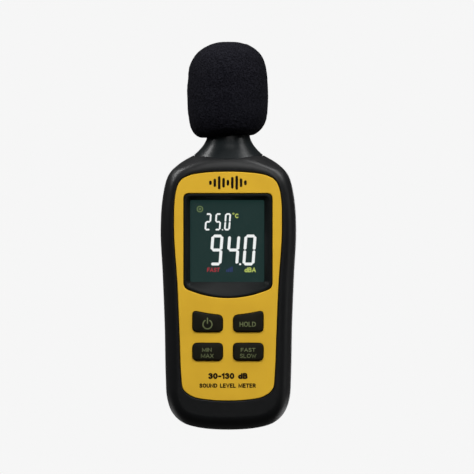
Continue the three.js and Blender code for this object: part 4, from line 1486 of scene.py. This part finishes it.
VIEW_WIDTH = 195.6
VIEW_CENTRE = (3.5, 79.4)
VIEW_AZIMUTH = 0.8
LENS = 800
SENSOR = 36
BACKGROUND = 0.922
AMBIENT = 0.05
FLOOR = {"half": 0.5, "fades_from": 0.12, "clearance": 0.003}  # metres


def camera():
    """Almost straight on to the face, from so far back that there is little perspective."""
    data = bpy.data.cameras.new("camera")
    data.lens = LENS
    data.sensor_width = SENSOR
    data.clip_start = 0.05
    data.clip_end = 20
    holder = placed("camera", data)
    distance = VIEW_WIDTH / SENSOR * LENS
    azimuth = math.radians(VIEW_AZIMUTH)
    x, z = VIEW_CENTRE
    across, depth = math.cos(azimuth), math.sin(azimuth)
    place = (x * across + distance * depth, x * depth - distance * across, z)
    holder.location = TO_ROW @ Vector(place)
    holder.rotation_euler = (math.pi / 2, 0, azimuth)
    bpy.context.scene.camera = holder


def softbox(name, place, target, width, height, energy, upright=(0, 0, 1), glossy=True):
    """A rectangular light aimed at a point, its height along upright. Sizes are millimetres.
    Without glossy it lights surfaces but is not mirrored in them."""
    data = bpy.data.lights.new(name, "AREA")
    data.shape = "RECTANGLE"
    data.size = width * MM
    data.size_y = height * MM
    data.energy = energy
    holder = placed(name, data)
    holder.location = TO_ROW @ Vector(place)
    backwards = (holder.location - (TO_ROW @ Vector(target))).normalized()
    sideways = Vector(upright).cross(backwards).normalized()
    axes = Matrix((sideways, backwards.cross(sideways), backwards)).transposed()
    holder.rotation_euler = axes.to_euler()
    holder.visible_glossy = glossy


def round_the_meter(degrees, distance, height):
    """A place at an angle from straight in front, positive to the right."""
    angle = math.radians(degrees)
    return (distance * math.sin(angle), -distance * math.cos(angle), height)


def mirrored_from(turn, tilt):
    """Where a surface that faces turn degrees to the right and tilt up sees the camera's mirror
    image: the direction that a light comes from to glint there."""
    turn, tilt = math.radians(turn), math.radians(tilt)
    level = math.cos(tilt)
    normal = Vector((level * math.sin(turn), -level * math.cos(turn), math.sin(tilt)))
    to_camera = Vector((0, -1, 0))
    return 2 * normal.dot(to_camera) * normal - to_camera


def glint(name, top, foot, width, energy):
    """A strip light that puts a streak down the neck. The streak's two ends are given as the
    turn and tilt of the neck's surface there."""
    target, distance = Vector((0, 0, 115)), 700
    start, end = (mirrored_from(turn, tilt) * distance for turn, tilt in (top, foot))
    place, along = target + (start + end) / 2, end - start
    softbox(name, place, target, width, along.length, energy, upright=along)


def lights():
    """Soft fill from the front, a tall light whose reflection is the shoulder's sheen, a streak
    down each side of the neck, and low lights behind that only the back mirrors."""
    middle, top = (0, 0, 70), (0, 0, 108)
    softbox("front left", round_the_meter(-33, 900, 870), middle, 480, 380, 9.1, glossy=False)
    softbox("front right", round_the_meter(38, 900, 870), middle, 480, 380, 7.9, glossy=False)
    softbox("shoulder", round_the_meter(10, 1200, 1020), top, 900, 1150, 8.4)
    softbox("overhead", (200, 0, 1850), top, 1500, 1300, 6, upright=(0, 1, 0))
    glint("left glint", (-37, 16), (-35, 46), 80, 2.6)
    glint("right glint", (34, 16), (17, 48), 190, 2.2)
    softbox("right side", round_the_meter(95, 800, 60), (0, 0, 60), 160, 500, 0.2)
    softbox("low right", round_the_meter(142, 1400, -520), middle, 900, 500, 1.8)
    softbox("low left", round_the_meter(-142, 1400, -520), middle, 900, 500, 1.0)
    softbox("back", round_the_meter(180, 1500, -40), middle, 800, 600, 3.5)


def world():
    """A pale backdrop to the camera, and a dimmer, even light to everything else."""
    made = bpy.data.worlds.new("studio")
    made.use_nodes = True
    tree = made.node_tree
    background = tree.nodes["Background"]
    background.inputs["Color"].default_value = (1, 1, 1, 1)
    path = tree.nodes.new("ShaderNodeLightPath")
    strength = tree.nodes.new("ShaderNodeMapRange")
    strength.inputs["To Min"].default_value = AMBIENT
    strength.inputs["To Max"].default_value = BACKGROUND
    tree.links.new(path.outputs["Is Camera Ray"], strength.inputs["Value"])
    tree.links.new(strength.outputs[0], background.inputs["Strength"])
    bpy.context.scene.world = made


def faded(n, start, end):
    """A share that falls from 1 to 0 between two distances from the middle, in metres."""
    reach = n.add("ShaderNodeVectorMath", {"Vector": n.place}, operation="LENGTH").outputs["Value"]
    return n.ranged(reach, 1, 0, start, end)


def floor():
    """A pale floor, lower than the battery cover reaches when it is slid off. It fades into the
    backdrop, and it neither mirrors in the meter nor shades it from the low lights."""
    slide = next(j for j in frame["joints"] if j["name"] == "battery_cover_slide")
    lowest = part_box("battery_cover")[0].z - max(abs(x) for x in slide["range_m"])
    half = FLOOR["half"]
    mesh = bpy.data.meshes.new("floor")
    corners = [(-half, -half), (half, -half), (half, half), (-half, half)]
    mesh.from_pydata([(x, y, 0) for x, y in corners], [], [(0, 1, 2, 3)])
    n = Nodes("pale_floor")
    broad = n.ranged(n.noise(60, 2), 0, 1)
    n.drive("Base Color", n.blend(broad, (0.57, 0.57, 0.57), (0.60, 0.60, 0.60)))
    n.drive("Roughness", n.ranged(n.noise(8), 0.7, 0.8))
    n.drive("Alpha", faded(n, FLOOR["fades_from"], half))
    n.set(Specular_IOR_Level=0.2)
    mesh.materials.append(n.material)
    made = placed("floor", mesh)
    made.location.z = lowest - FLOOR["clearance"]
    made.visible_diffuse = False
    made.visible_glossy = False
    made.visible_shadow = False


# ---------------- the meter

bpy.context.scene.view_settings.view_transform = "Standard"
camera()
world()
lights()
floor()

front_casing()
rear_casing()
battery_cover()
case_screws()
tripod_insert()
front_panel()
panel_prints()
display_bezel()
display_lens()
lcd_glass()
display_marks()
for key_name, key_shape in KEYS.items():
    key_cap(key_name, key_shape)
key_legends()
neck_collar()
mic_tube()
mic_grid()
windscreen()
cells()
springs()
kept_nodes()
